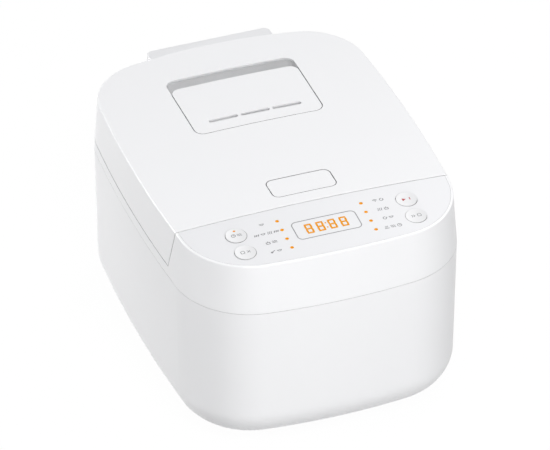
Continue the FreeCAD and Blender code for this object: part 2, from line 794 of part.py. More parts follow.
def make_key(x, s):
    """Round key with a slightly domed top and a stem that meets its switch."""
    y = LID_FRONT_Y + s
    rim = CREST_Z - crown_drop(x) + KEY_PROUD
    sphere_r = (KEY_R ** 2 + KEY_DOME ** 2) / (2 * KEY_DOME)
    cap = rod(x, y, rim - KEY_H, rim + KEY_DOME + 1, KEY_R)
    cap = cap.common(Part.makeSphere(sphere_r, V(x, y, rim + KEY_DOME - sphere_r)))
    hollow = rod(x, y, rim - KEY_H - 1, rim - KEY_TOP_T, KEY_R - KEY_SKIRT_T)
    stem = rod(x, y, key_switch_top(), rim - 1, KEY_STEM_R)
    return cap.cut(hollow).fuse(stem).removeSplitter()


def make_timer_key():
    lamp = rod(-KEY_X, LID_FRONT_Y + KEY_REAR_S + TIMER_LAMP_S, 0, FAR, TIMER_LAMP_R + 0.05)
    return tipped(make_key(-KEY_X, KEY_REAR_S).cut(lamp))


def make_timer_lamp():
    lamp = rod(-KEY_X, LID_FRONT_Y + KEY_REAR_S + TIMER_LAMP_S, 0, FAR, TIMER_LAMP_R)
    return tipped(make_key(-KEY_X, KEY_REAR_S).common(lamp))


def power_screw_places():
    across = POWER_BOARD_W / 2 - BOARD_SCREW_IN
    along = POWER_BOARD_L / 2 - BOARD_SCREW_IN
    return [(x, POWER_BOARD_Y + y) for x in (-across, across) for y in (-along, along)]


def make_power_board():
    high = POWER_BOARD_Z + BOARD_T
    return rounded_block(0, POWER_BOARD_Y, POWER_BOARD_W, POWER_BOARD_L, 3, POWER_BOARD_Z, high)


def make_power_components():
    z = POWER_BOARD_Z + BOARD_T
    y = POWER_BOARD_Y
    relay = block(RELAY_X, y, RELAY_W, RELAY_L, z, RELAY_H)
    transformer = block(TRANSFORMER_X, y, TRANSFORMER_W, TRANSFORMER_L, z, TRANSFORMER_H)
    capacitor = rod(CAPACITOR_X, y + CAPACITOR_Y, z, z + CAPACITOR_H, CAPACITOR_R)
    sink = block(SINK_X, y + SINK_Y, SINK_T, SINK_L, z, SINK_H)
    return group([relay, transformer, capacitor, sink])


# Mains inlet

def inlet_face_y():
    """The inlet's mouth lies just inside the curved rear wall."""
    edge = INLET_X + INLET_W / 2
    drop = BACK_BOW_R - math.sqrt(BACK_BOW_R ** 2 - edge ** 2)
    return BACK_Y - drop - wall_inset(INLET_Z) - INLET_SET_BACK


def make_power_inlet():
    y = inlet_face_y()
    half_w = INLET_W / 2
    half_h = INLET_H / 2
    body = box(INLET_X - half_w, INLET_X + half_w, y - INLET_DEPTH, y, INLET_Z - half_h, INLET_Z + half_h)
    half_w = INLET_CAVITY_W / 2
    half_h = INLET_CAVITY_H / 2
    cavity = box(INLET_X - half_w, INLET_X + half_w, y - INLET_CAVITY_DEPTH, y + 1,
                 INLET_Z - half_h, INLET_Z + half_h)
    along = [e for e in cavity.Edges if abs(e.tangentAt(e.FirstParameter).y) > 0.9]
    return body.cut(cavity.makeChamfer(INLET_CHAMFER, [e for e in along if e.BoundBox.ZMin > INLET_Z]))


def make_inlet_pins():
    y = inlet_face_y()
    low = y - INLET_CAVITY_DEPTH
    places = [(INLET_X + i * INLET_PIN_PITCH, INLET_PIN_STAGGER * (1 - 2 * abs(i))) for i in (-1, 0, 1)]
    return group([box(x - INLET_PIN_W / 2, x + INLET_PIN_W / 2, low, y - INLET_PIN_IN,
                      INLET_Z + dz - INLET_PIN_H / 2, INLET_Z + dz + INLET_PIN_H / 2) for x, dz in places])


# Lid

def make_lid_cover():
    low = PARTING_Z - 5
    high = ABOVE_Z
    form = tapered(0, low, high).common(crown(0)).common(lid_space(LID_GAP))
    form = form.makeFillet(RIM_ROUND, [e for e in form.Edges if on_crown(e, 0)])
    hollow = tapered(WALL, low, high).common(crown(WALL)).common(lid_space(LID_GAP + WALL))
    mouth = hollow.copy()
    mouth.translate(V(0, 0, -WALL - 1))
    mouth = mouth.common(box(-FAR, FAR, -FAR, FAR, 0, PARTING_Z + 2 * WALL))
    cover = form.cut(hollow).cut(mouth)
    cover = cover.cut(vent_hole(0, CREST_Z - 30))
    cover = cover.cut(release_space(RELEASE_GAP, CREST_Z - 30))
    half = LATCH_W / 2 + 1
    nose = box(-half, half, LID_FRONT_Y - 5, LID_FRONT_Y + 15, latch_low() - 1, latch_high() + 1)
    return cover.cut(nose)


def vent_hole(shrink, low):
    """Round-cornered opening of the steam vent, made smaller by shrink."""
    width = VENT_W - 2 * shrink
    length = VENT_LENGTH - 2 * shrink
    middle = (VENT_FRONT_Y + VENT_REAR_Y) / 2
    return rounded_block(0, middle, width, length, VENT_R - shrink, low, ABOVE_Z)


def release_middle():
    return LID_FRONT_Y + RELEASE_FRONT + RELEASE_L / 2


def release_space(grow, low):
    width = RELEASE_W + 2 * grow
    length = RELEASE_L + 2 * grow
    return rounded_block(0, release_middle(), width, length, RELEASE_R + grow, low, ABOVE_Z)


def make_vent_cup():
    """Well under the vent opening, with the steam tube that runs down through the lid."""
    floor = CREST_Z - VENT_DEPTH
    ceiling = crown(WALL + SEAT_GAP)
    outer = vent_hole(-VENT_WALL, floor - VENT_WALL).common(ceiling)
    cup = outer.cut(vent_hole(0, floor))
    bore_y = steam_y()
    pipe = tube(0, bore_y, LID_BOTTOM_Z - 4, floor, STEAM_BORE_R + STEAM_TUBE_T, STEAM_BORE_R)
    cup = cup.cut(rod(0, bore_y, floor - 10, floor + 1, STEAM_BORE_R))
    return fused([cup, pipe])


def steam_y():
    return VENT_FRONT_Y + (VENT_LENGTH - VENT_GUTTER) / 2


def make_vent_cap():
    """Plate over the vent with three steam slots and a skirt round the valve box."""
    gap = RELEASE_GAP
    length = VENT_LENGTH - VENT_GUTTER - gap
    y = VENT_FRONT_Y + gap + length / 2
    cover = rounded_block(0, y, VENT_W - 2 * gap, length, VENT_R - gap, CREST_Z - 12, ABOVE_Z)
    cover = cover.common(crown(0)).cut(crown(VENT_PLATE_T))
    cover = cover.makeFillet(0.5, [e for e in cover.Edges if on_crown(e, 0)])
    slot_y = VENT_FRONT_Y + STEAM_SLOT_IN
    pitch = STEAM_SLOT_L + STEAM_SLOT_GAP
    slots = [rounded_block(i * pitch, slot_y, STEAM_SLOT_L, STEAM_SLOT_W, STEAM_SLOT_W / 2 - 0.05,
                           CREST_Z - CUT_REACH, CREST_Z + 9) for i in (-1, 0, 1)]
    skirt = vent_box(0, vent_split_z(), CREST_Z).cut(vent_box(VENT_BOX_T, 0, FAR))
    skirt = skirt.common(crown(VENT_PLATE_T / 2))
    return fused([cover, skirt]).cut(group(slots))


def vent_box(skin, low, high):
    """Valve box under the vent plate, moved in by skin."""
    width = VENT_BOX_W - 2 * skin
    length = VENT_BOX_L - 2 * skin
    return rounded_block(0, steam_y(), width, length, VENT_BOX_R - skin, low, high)


def vent_split_z():
    return CREST_Z - VENT_PLATE_T - VENT_BOX_H / 2


def make_vent_base():
    """Lower half of the valve box, with the spout that sits in the steam tube."""
    low = CREST_Z - VENT_PLATE_T - VENT_BOX_H
    tray = vent_box(0, low, vent_split_z()).cut(vent_box(VENT_BOX_T, low + VENT_BOX_T, FAR))
    spout = rod(0, steam_y(), CREST_Z - VENT_DEPTH - 4, low + 1, STEAM_BORE_R - SPOUT_GAP)
    bore = rod(0, steam_y(), 0, FAR, STEAM_BORE_R - SPOUT_GAP - SPOUT_T)
    return fused([tray, spout]).cut(bore)


def make_vent_seal():
    """Silicone ring between the valve box and the cup's floor."""
    low = CREST_Z - VENT_DEPTH
    high = CREST_Z - VENT_PLATE_T - VENT_BOX_H
    return tube(0, steam_y(), low + SEAT_GAP / 3, high, STEAM_BORE_R + 3, STEAM_BORE_R - 1.1)


def make_lid_liner():
    low = LID_BOTTOM_Z
    skin = WALL + SEAT_GAP
    inside = tapered(skin, PARTING_Z - 5, ABOVE_Z).common(lid_space(LID_GAP + skin))
    floor = inside.copy()
    floor.translate(V(0, 0, -skin))
    floor = floor.common(box(-FAR, FAR, -FAR, FAR, low, low + LINER_T))
    floor = floor.common(inside.fuse(tapered(skin, PARTING_Z - 5, low + LINER_T)))
    bosses = []
    for x, y in lid_boss_places():
        ceiling = CREST_Z - crown_drop(abs(x) + LID_BOSS_R) - WALL - SEAT_GAP
        bosses.append(rod(x, y, low + LINER_T - 0.5, ceiling, LID_BOSS_R))
    liner = fused([floor] + bosses)
    return liner.cut(rod(0, steam_y(), 0, FAR, STEAM_BORE_R + STEAM_TUBE_T + FIT_GAP))


def lid_boss_places():
    rows = (POT_Y - LID_BOSS_SPREAD, POT_Y + LID_BOSS_SPREAD)
    return [(x, y) for x in (-LID_BOSS_X, LID_BOSS_X) for y in rows]


def make_lid_screws():
    return group([pan_head(x, y, LID_BOTTOM_Z, -1, BOARD_SCREW_R) for x, y in lid_boss_places()])


def make_lid_heater():
    z = LID_BOTTOM_Z + LINER_T
    return tube(0, POT_Y, z, z + LID_HEATER_T, LID_HEATER_R, LID_HEATER_R - LID_HEATER_W)


def make_inner_lid_plate():
    high = LID_BOTTOM_Z - SEAT_GAP
    plate_low = high - INNER_PLATE_T
    flat = INNER_PLATE_R - INNER_PLATE_LIP
    dip = plate_low - INNER_PLATE_DIP
    disc = turned([(0, plate_low), (flat, plate_low), (INNER_PLATE_R, dip),
                   (INNER_PLATE_R, dip + INNER_PLATE_T), (flat, high), (0, high)], 0, POT_Y)
    return disc.cut(rod(0, steam_y(), 0, FAR, STEAM_BORE_R + STEAM_TUBE_T + 2))


def make_steam_tube_seal():
    high = LID_BOTTOM_Z - SEAT_GAP
    inside = STEAM_BORE_R + STEAM_TUBE_T
    return tube(0, steam_y(), high - INNER_PLATE_T - 1, high, inside + 1.9, inside + 0.05)


def make_pot_seal():
    low = DECK_Z + POT_FLANGE_T + SEAT_GAP
    high = LID_BOTTOM_Z
    inside = INNER_PLATE_R + FIT_GAP
    return turned([(inside, low), (SEAL_OUT_R - 2, low), (SEAL_OUT_R, high - 1.2), (SEAL_OUT_R, high),
                   (inside, high)], 0, POT_Y)


def make_hinge_cover():
    """Housing across the lid's back that wraps the hinge barrel."""
    half = HINGE_COVER_W / 2
    rear = BACK_Y + HINGE_OVERHANG
    top = CREST_Z - HINGE_COVER_DROP
    wall = BACK_Y - wall_inset(PARTING_Z)
    housing = box(-half, half, wall - HINGE_COVER_ROOT, rear, LID_BOTTOM_Z, top)
    tail = box(-half, half, HINGE_Y - HINGE_BARREL_R, rear, HINGE_Z, LID_BOTTOM_Z + 1)
    barrel = cross_rod(-half, half, HINGE_Y, HINGE_Z, HINGE_BARREL_R)
    housing = fused([housing, tail])
    rear_edges = [e for e in housing.Edges if e.BoundBox.YMin > rear - 0.01 and e.BoundBox.ZMax > top - 0.01]
    upright = [e for e in rear_edges if e.BoundBox.ZLength > 1]
    housing = housing.makeFillet(HINGE_COVER_CORNER_R, upright)
    top_edges = [e for e in housing.Edges if e.BoundBox.ZMin > top - 0.01 and e.BoundBox.YMax > wall]
    housing = housing.makeFillet(HINGE_COVER_EDGE_R, top_edges)
    cover = fused([housing.common(box(-FAR, FAR, 0, rear, 0, FAR)), barrel])
    cover = cover.cut(lid_outer())
    for x in (-EAR_X - EAR_W, EAR_X):
        cover = cover.cut(box(x - KNUCKLE_GAP, x + EAR_W + KNUCKLE_GAP, 0, FAR, 0, LID_BOTTOM_Z))
    for x in (-TORSION_X - TORSION_L, TORSION_X):
        cover = cover.cut(box(x - KNUCKLE_GAP, x + TORSION_L + KNUCKLE_GAP, 0, FAR, 0, LID_BOTTOM_Z))
    return cover.cut(cross_rod(-FAR, FAR, HINGE_Y, HINGE_Z, HINGE_PIN_R + PIVOT_GAP))


def lid_outer():
    return tapered(-0.02, PARTING_Z - 5, ABOVE_Z).common(crown(0)).common(lid_space(LID_GAP))


def make_hinge_pin():
    return cross_rod(-HINGE_COVER_W / 2 + 1, HINGE_COVER_W / 2 - 1, HINGE_Y, HINGE_Z, HINGE_PIN_R)


def make_lid_springs():
    mean = HINGE_PIN_R + TORSION_WIRE_R + 0.4
    starts = (-TORSION_X - TORSION_L + TORSION_WIRE_R, TORSION_X + TORSION_WIRE_R)
    return group([coil(mean, TORSION_WIRE_R, TORSION_TURNS, V(x, HINGE_Y, HINGE_Z), V(1, 0, 0),
                       TORSION_L - 2 * TORSION_WIRE_R, V(0, 0, 1)) for x in starts])


# Lid release

def release_pivot():
    """Axis at the back of the release button."""
    return release_middle() + RELEASE_L / 2 - PIVOT_IN, CREST_Z - RELEASE_T - PIVOT_DROP


def make_release_button():
    cap = release_space(0, CREST_Z - RELEASE_T - RELEASE_SKIRT).common(crown(0))
    cap = cap.makeFillet(0.6, [e for e in cap.Edges if on_crown(e, 0)])
    wall = RELEASE_WALL
    hollow = rounded_block(0, release_middle(), RELEASE_W - 2 * wall, RELEASE_L - 2 * wall, RELEASE_R - wall,
                           0, CREST_Z).common(crown(RELEASE_T))
    y, z = release_pivot()
    reach = RELEASE_W / 2 + PIVOT_STUB
    inner = RELEASE_W / 2 - wall
    stubs = [cross_rod(inner, reach, y, z, PIVOT_R), cross_rod(-reach, -inner, y, z, PIVOT_R)]
    rib_y = rib_back() - RELEASE_RIB_T
    rib = box(-LATCH_WEDGE_W / 2, LATCH_WEDGE_W / 2, rib_y, rib_back(), rib_low(), CREST_Z - RELEASE_T / 2)
    return fused([cap.cut(hollow), rib] + stubs)


def make_release_bracket():
    """Frame under the release button with the two pivot cheeks and a floor for the spring."""
    y, z = release_pivot()
    low = CREST_Z - BRACKET_DEPTH
    half = RELEASE_W / 2 + BRACKET_GAP
    front = release_middle() - RELEASE_L / 2
    back = release_middle() + RELEASE_L / 2
    floor = box(-half - BRACKET_T, half + BRACKET_T, front, back, low, low + BRACKET_T)
    cheek_top = z + PIVOT_R + BRACKET_EDGE
    cheeks = [box(x, x + BRACKET_T, front, back, low, cheek_top) for x in (-half - BRACKET_T, half)]
    rails = [box(x, x + BRACKET_T, front, back, low, latch_high() + 1)
             for x in (-LATCH_W / 2 - SEAT_GAP - BRACKET_T, LATCH_W / 2 + SEAT_GAP)]
    leg_x = half - BRACKET_LEG_IN
    leg_y = back - BRACKET_LEG_R - 1
    legs = [rod(x, leg_y, LID_BOTTOM_Z + LINER_T, low + 1, BRACKET_LEG_R) for x in (-leg_x, leg_x)]
    frame = fused([floor] + cheeks + rails + legs)
    return frame.cut(cross_rod(-FAR, FAR, y, z, PIVOT_R + PIVOT_GAP))


def rib_back():
    """Rear face of the button's rib, which pushes on the latch wedge."""
    return LID_FRONT_Y + RELEASE_FRONT + RELEASE_RIB_IN + RELEASE_RIB_T - 1


def rib_low():
    return CREST_Z - RELEASE_T - RELEASE_RIB_H


def latch_low():
    return CREST_Z - BRACKET_DEPTH + BRACKET_T + SEAT_GAP


def latch_high():
    return latch_low() + LATCH_T


def wall_front_at(z):
    """Front face of the frame's raked wall, behind the control panel."""
    return lid_front_at(z) - LID_GAP - WALL


def make_latch_slider():
    """Sliding latch: the button's rib presses on its wedge and its nose draws back."""
    half = LATCH_W / 2
    tip = wall_front_at(latch_high()) - KEEPER_T - 0.8
    back = LID_FRONT_Y + LATCH_LENGTH
    low = latch_low()
    high = latch_high()
    bar = side_prism([(tip, high - 0.5), (tip, low + 1.5), (tip + 1.5, low), (back, low), (back, high),
                      (tip + 3, high)], -half, half)
    under_rib = rib_low() - LATCH_CLEAR
    front = rib_back() - RELEASE_RIB_T - 0.5
    rear = rib_back() + LATCH_WEDGE_BACK
    front_top = under_rib - LATCH_SLOPE * (rib_back() - front)
    rear_top = under_rib + LATCH_SLOPE * LATCH_WEDGE_BACK
    wedge = side_prism([(front, low + 1), (rear, low + 1), (rear, rear_top), (front, front_top)],
                       -LATCH_WEDGE_W / 2, LATCH_WEDGE_W / 2)
    return fused([bar, wedge])


def make_release_spring():
    low = CREST_Z - BRACKET_DEPTH + BRACKET_T + SPRING_WIRE_R
    high = CREST_Z - RELEASE_T - crown_drop(RELEASE_SPRING_X) - SPRING_WIRE_R - SEAT_GAP
    start = V(RELEASE_SPRING_X, release_middle() - 2, low)
    return coil(RELEASE_SPRING_R, SPRING_WIRE_R, RELEASE_SPRING_TURNS, start, V(0, 0, 1), high - low,
                V(1, 0, 0))


def make_latch_keeper():
    """Steel strike set in the frame's raked wall, under which the latch nose catches."""
    low = latch_high() + 0.5
    high = low + KEEPER_H
    half = LATCH_W / 2 + LATCH_POCKET_GAP + KEEPER_LAP
    back_low = wall_front_at(low)
    back_high = wall_front_at(high)
    return side_prism([(back_low, low), (back_high, high), (back_high - KEEPER_T, high),
                       (back_low - KEEPER_T, low)], -half, half)


def main():
    os.makedirs("parts", exist_ok=True)
    pieces = {
        "lower_shell": make_lower_shell,
        "upper_frame": make_upper_frame,
        "control_panel": make_control_panel,
        "base_plate": make_base_plate,
        "feet": make_feet,
        "base_screws": make_base_screws,
        "inner_pot": make_inner_pot,
        "pot_well": make_pot_well,
        "heating_plate": make_heating_plate,
        "heater_element": make_heater_element,
        "side_heater": make_side_heater,
        "sensor_holder": make_sensor_holder,
        "sensor_cap": make_sensor_cap,
        "sensor_spring": make_sensor_spring,
        "thermal_fuse": make_thermal_fuse,
        "control_board": make_control_board,
        "board_screws": make_board_screws,
        "tact_switches": make_tact_switches,
        "display_module": make_display_module,
        "display_window": make_display_window,
        "indicator_lenses": make_indicator_lenses,
        "buzzer": make_buzzer,
        "timer_key": make_timer_key,
        "timer_lamp": make_timer_lamp,
        "cancel_key": lambda: tipped(make_key(-KEY_X, KEY_FRONT_S)),
        "start_key": lambda: tipped(make_key(KEY_X, KEY_REAR_S)),
        "select_key": lambda: tipped(make_key(KEY_X, KEY_FRONT_S)),
        "power_board": make_power_board,
        "power_components": make_power_components,
        "power_inlet": make_power_inlet,
        "inlet_pins": make_inlet_pins,
        "lid_cover": make_lid_cover,
        "lid_liner": make_lid_liner,
        "lid_screws": make_lid_screws,
        "lid_heater": make_lid_heater,
        "inner_lid_plate": make_inner_lid_plate,
        "steam_tube_seal": make_steam_tube_seal,
        "pot_seal": make_pot_seal,
        "vent_cup": make_vent_cup,
        "vent_cap": make_vent_cap,
        "vent_base": make_vent_base,
        "vent_seal": make_vent_seal,
        "hinge_cover": make_hinge_cover,
        "hinge_pin": make_hinge_pin,
        "lid_springs": make_lid_springs,
        "release_button": make_release_button,
        "release_bracket": make_release_bracket,
        "release_spring": make_release_spring,
        "latch_slider": make_latch_slider,
        "latch_keeper": make_latch_keeper,
    }
    for name, make in pieces.items():
        save(name, make())


main()
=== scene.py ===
import json
import math

import bpy
import numpy as np
from mathutils import Matrix, Vector


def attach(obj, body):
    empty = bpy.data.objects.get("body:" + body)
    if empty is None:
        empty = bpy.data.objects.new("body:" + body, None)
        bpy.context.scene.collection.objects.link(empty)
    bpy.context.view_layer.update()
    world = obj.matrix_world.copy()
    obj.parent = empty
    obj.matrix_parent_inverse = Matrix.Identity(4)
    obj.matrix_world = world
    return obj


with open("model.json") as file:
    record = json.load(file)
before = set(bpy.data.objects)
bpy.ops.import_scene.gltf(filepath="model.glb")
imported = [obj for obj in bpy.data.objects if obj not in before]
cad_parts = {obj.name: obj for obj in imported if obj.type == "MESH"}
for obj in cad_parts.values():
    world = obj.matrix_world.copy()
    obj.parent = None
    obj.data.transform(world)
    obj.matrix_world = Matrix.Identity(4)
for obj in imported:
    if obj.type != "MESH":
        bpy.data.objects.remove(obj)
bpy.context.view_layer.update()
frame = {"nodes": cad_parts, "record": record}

# Sizes of the cooker, in metres; s is the distance behind the lid's front edge, below 0 on the panel
CREST_Z = 0.202
CROWN_R = 1.790
LID_FRONT_Y = -0.0975
PANEL_TILT = math.radians(4.2)
POT_Y = 0.036
KEY_X = 0.079
KEY_REAR_S = -0.0228
KEY_FRONT_S = -0.0466
KEY_R = 0.0093
KEY_PROUD = 0.0005
KEY_DOME = 0.0007

# Body of each key, with the key's middle in x and s
KEYS = {
    "timer": (-KEY_X, KEY_REAR_S),
    "cancel": (-KEY_X, KEY_FRONT_S),
    "start": (KEY_X, KEY_REAR_S),
    "select": (KEY_X, KEY_FRONT_S),
}


# Tools for finishes

# Sockets of a Mix node that blends colours
MIX_FACTOR, MIX_FIRST, MIX_SECOND, MIX_RESULT = 0, 6, 7, 2

# Distance within which a surface closes in a gap; the painted gap shade reaches this far
GAP_REACH = 0.0025
AO_SAMPLES = 8


class Val:
    """A socket that takes part in arithmetic; each operator adds one Math node."""

    def __init__(self, nodes, socket):
        self.nodes = nodes
        self.socket = socket

    def _math(self, operation, first, second):
        return self.nodes.node("ShaderNodeMath", {"operation": operation}, {0: first, 1: second})

    def __add__(self, other):
        return self._math("ADD", self, other)

    __radd__ = __add__

    def __sub__(self, other):
        return self._math("SUBTRACT", self, other)

    def __rsub__(self, other):
        return self._math("SUBTRACT", other, self)

    def __mul__(self, other):
        return self._math("MULTIPLY", self, other)

    __rmul__ = __mul__

    def __pow__(self, other):
        return self._math("POWER", self, other)

    def above(self, limit):
        return self._math("GREATER_THAN", self, limit)


class Nodes:
    """A node tree that is filled one node at a time."""

    def __init__(self, tree):
        self.tree = tree

    def node(self, kind, settings, values, out=0):
        """Adds a node, sets its settings first and then its sockets, and gives one output."""
        made = self.tree.nodes.new(kind)
        for key, value in settings.items():
            setattr(made, key, value)
        for key, value in values.items():
            if isinstance(value, Val):
                self.tree.links.new(value.socket, made.inputs[key])
            else:
                made.inputs[key].default_value = value
        return Val(self, made.outputs[out])

    def seen(self):
        """1 or more for rays from the eye: straight ones, reflected ones and those through clear bodies."""
        camera, glossy, clear = (self.node("ShaderNodeLightPath", {}, {}, f"Is {ray} Ray")
                                 for ray in ("Camera", "Glossy", "Transmission"))
        return camera + glossy + clear

    def mix_shaders(self, factor, first, second):
        return self.node("ShaderNodeMixShader", {}, {0: factor, 1: first, 2: second})


class Finish(Nodes):
    """One procedural material, with a Principled shader at its end."""

    def __init__(self, name, **constants):
        self.material = bpy.data.materials.new(name)
        self.material.use_nodes = True
        super().__init__(self.material.node_tree)
        self.shader = self.tree.nodes["Principled BSDF"]
        for socket, value in constants.items():
            self.shader.inputs[socket.replace("_", " ")].default_value = value
        self.place = self.node("ShaderNodeTexCoord", {}, {}, "Object")

    def feed(self, socket, value):
        self.tree.links.new(value.socket, self.shader.inputs[socket])

    def noise(self, scale, detail=2.0, rough=0.5, place=None):
        values = {"Vector": place or self.place, "Scale": scale, "Detail": detail, "Roughness": rough}
        return self.node("ShaderNodeTexNoise", {}, values, "Fac")

    def mapped(self, **values):
        """Object coordinates, moved or scaled by a Mapping node."""
        return self.node("ShaderNodeMapping", {}, {"Vector": self.place, **values})

    def blend(self, amount, first, second):
        values = {MIX_FACTOR: amount, MIX_FIRST: first, MIX_SECOND: second}
        return self.node("ShaderNodeMix", {"data_type": "RGBA"}, values, MIX_RESULT)

    def scaled(self, colour, amount):
        values = {"Vector": colour, "Scale": amount}
        return self.node("ShaderNodeVectorMath", {"operation": "SCALE"}, values)

    def axis(self, letter):
        """One of the object coordinates, in metres."""
        return self.node("ShaderNodeSeparateXYZ", {}, {"Vector": self.place}, letter)

    def ramp(self, value, low, high):
        """Rises straight from 0 at low to 1 at high."""
        return self.node("ShaderNodeMapRange", {}, {"Value": value, "From Min": low, "From Max": high})

    def openness(self):
        """Share of the half-space over a point that no surface near it closes in."""
        settings = {"samples": AO_SAMPLES}
        return self.node("ShaderNodeAmbientOcclusion", settings, {"Distance": GAP_REACH}, "AO")

    def paint_gap_shade(self, colour, depth):
        """Painted shade: darkens a colour by depth where nearby surfaces close it in, as shade would fall
        there.
        """
        return self.scaled(colour, self.openness() * depth + (1.0 - depth))

    def bump(self, height, strength, distance):
        values = {"Height": height, "Strength": strength, "Distance": distance}
        self.feed("Normal", self.node("ShaderNodeBump", {}, values))


def rgb(r, g, b):
    return (r, g, b, 1.0)


# Moulded plastic

SHELL_LIGHT = rgb(0.875, 0.875, 0.885)
SHELL_DARK = rgb(0.855, 0.857, 0.868)
SHELL_ROUGH = 0.30
SHELL_IOR = 1.5
CLOUD_SCALE = 9.0
CLOUD_DETAIL = 3.0
CLOUD_SPREAD = 0.05
GRAIN = 1500.0
GRAIN_ROUGH = 0.6
GRAIN_SPREAD = 0.08
GRAIN_RELIEF = 0.03
GRAIN_DEPTH = 0.0002
# Depth of the painted shade in gaps, for most plastics
GAP_SHADE_DEPTH = 0.55


def plastic(name, rough, grain, relief, **constants):
    """Start of a plastic finish: a fine spark-eroded grain, and a faint cloud, given back for its colour."""
    finish = Finish(name, **constants)
    cloud = finish.noise(CLOUD_SCALE, CLOUD_DETAIL)
    fine = finish.noise(grain, rough=GRAIN_ROUGH)
    least = rough - (GRAIN_SPREAD + CLOUD_SPREAD) / 2
    finish.feed("Roughness", fine * GRAIN_SPREAD + cloud * CLOUD_SPREAD + least)
    finish.bump(fine, relief, GRAIN_DEPTH)
    return finish, cloud


def moulded(name, light, dark, rough, grain=GRAIN, relief=GRAIN_RELIEF, gap_shade_depth=GAP_SHADE_DEPTH, **constants):
    """Plain moulded plastic, with painted shade in narrow gaps."""
    finish, cloud = plastic(name, rough, grain, relief, **constants)
    finish.feed("Base Color", finish.paint_gap_shade(finish.blend(cloud, light, dark), gap_shade_depth))
    return finish.material


# Pieces flush with the lid: how far below the crown the painted shade on their edge starts and is full, and
# how closed in
EDGE_SHADE_BELOW = (0.00006, 0.00025)
EDGE_SHADE_CLOSED = (0.05, 0.20)
EDGE_SHADE_TONE = rgb(0.10, 0.10, 0.105)
SLOT_FADE = 0.002


def flush_cap(name, slots=None):
    """Shell plastic of a piece flush with the lid: its rounded edge, just below the crown, carries painted
    shade where a gap closes it in. Slots lie behind a y and within a half width in x, and keep the plain
    tone."""
    finish, cloud = plastic(name, SHELL_ROUGH, GRAIN, GRAIN_RELIEF, IOR=SHELL_IOR)
    x2 = finish.axis("X") ** 2.0
    below = CREST_Z - x2 * (0.5 / CROWN_R) - finish.axis("Z")
    # Painted shade: a dark band on the edge below the crown, where the gap would shade it
    edge = finish.ramp(below, *EDGE_SHADE_BELOW) * finish.ramp(1.0 - finish.openness(), *EDGE_SHADE_CLOSED)
    if slots:
        front_y, half_width = slots
        beside = finish.ramp(x2, half_width ** 2, (half_width + SLOT_FADE) ** 2)
        behind = finish.ramp(finish.axis("Y"), front_y, front_y + SLOT_FADE)
        edge = edge * (1.0 - (1.0 - beside) * behind)
    plain = finish.paint_gap_shade(finish.blend(cloud, SHELL_LIGHT, SHELL_DARK), GAP_SHADE_DEPTH)
    finish.feed("Base Color", finish.blend(edge, plain, EDGE_SHADE_TONE))
    return finish.material


# Keys with painted light and shade: the way in which their tone deepens, to the right and to the front
KEY_SHADE_RIGHT, KEY_SHADE_FRONT = 0.80, 0.60
KEY_PAINTED_LIT = rgb(0.90, 0.90, 0.905)
KEY_PAINTED_SHADE = rgb(0.70, 0.70, 0.71)
KEY_GRAIN = 1800.0
KEY_LEAST_ROUGH = 0.44
KEY_IOR = 1.35


def painted_shading_key(name, x, s):
    """Key with painted shading: the tone deepens across the key, from its rear left to its front right, as
    light and shade would fall on its domed top.
    """
    finish = Finish(name, IOR=KEY_IOR)
    fine = finish.noise(KEY_GRAIN, rough=GRAIN_ROUGH)
    back = finish.axis("Y") - (LID_FRONT_Y + s)
    across = (finish.axis("X") - x) * KEY_SHADE_RIGHT - back * KEY_SHADE_FRONT
    # Painted highlight at the rear left, painted shade at the front right
    tone = finish.blend(finish.ramp(across, -KEY_R, KEY_R), KEY_PAINTED_LIT, KEY_PAINTED_SHADE)
    finish.feed("Base Color", finish.paint_gap_shade(tone, GAP_SHADE_DEPTH))
    finish.feed("Roughness", fine * GRAIN_SPREAD + KEY_LEAST_ROUGH)
    finish.bump(fine, GRAIN_RELIEF, GRAIN_DEPTH)
    return finish.material


# Metals and coatings

METAL_DETAIL = 3.0
METAL_DEPTH = 0.0001
BRUSH_ROUGH = 0.6
BRUSH_SPREAD = 0.16
BRUSH_RELIEF = 0.06
RING_SCALE = 300.0
RING_WANDER = 0.4
RING_SHARE, STAIN_SHARE = 0.5, 0.4
RING_SPREAD = 0.08
RING_RELIEF = 0.04
STAIN_SCALE = 40.0
FLECK_SPREAD = 0.12
FLECK_RELIEF = 0.05
FLECK_GRAIN = 0.7


def brushed(name, colour, worn, rough, along, metallic=1.0):
    """Metal with fine lines: noise that is stretched along one axis."""
    finish = Finish(name, Metallic=metallic)
    lines = finish.noise(1.0, METAL_DETAIL, BRUSH_ROUGH, finish.mapped(Scale=along))
    finish.feed("Base Color", finish.blend(lines, colour, worn))
    finish.feed("Roughness", lines * BRUSH_SPREAD + rough)
    finish.bump(lines, BRUSH_RELIEF, METAL_DEPTH)
    return finish.material


def turned_metal(name, colour, worn, rough, centre):
    """Metal turned on a lathe: rings of fine lines about a vertical axis."""
    finish = Finish(name, Metallic=1.0)
    place = finish.mapped(Location=(-centre[0], -centre[1], 0.0))
    rings = finish.node("ShaderNodeTexWave", {"wave_type": "RINGS", "rings_direction": "Z"},
                        {"Vector": place, "Scale": RING_SCALE, "Distortion": RING_WANDER}, "Fac")
    stain = finish.noise(STAIN_SCALE, METAL_DETAIL)
    finish.feed("Base Color", finish.blend(rings * RING_SHARE + stain * STAIN_SHARE, colour, worn))
    finish.feed("Roughness", rings * RING_SPREAD + stain * RING_SPREAD + rough)
    finish.bump(rings, RING_RELIEF, METAL_DEPTH)
    return finish.material


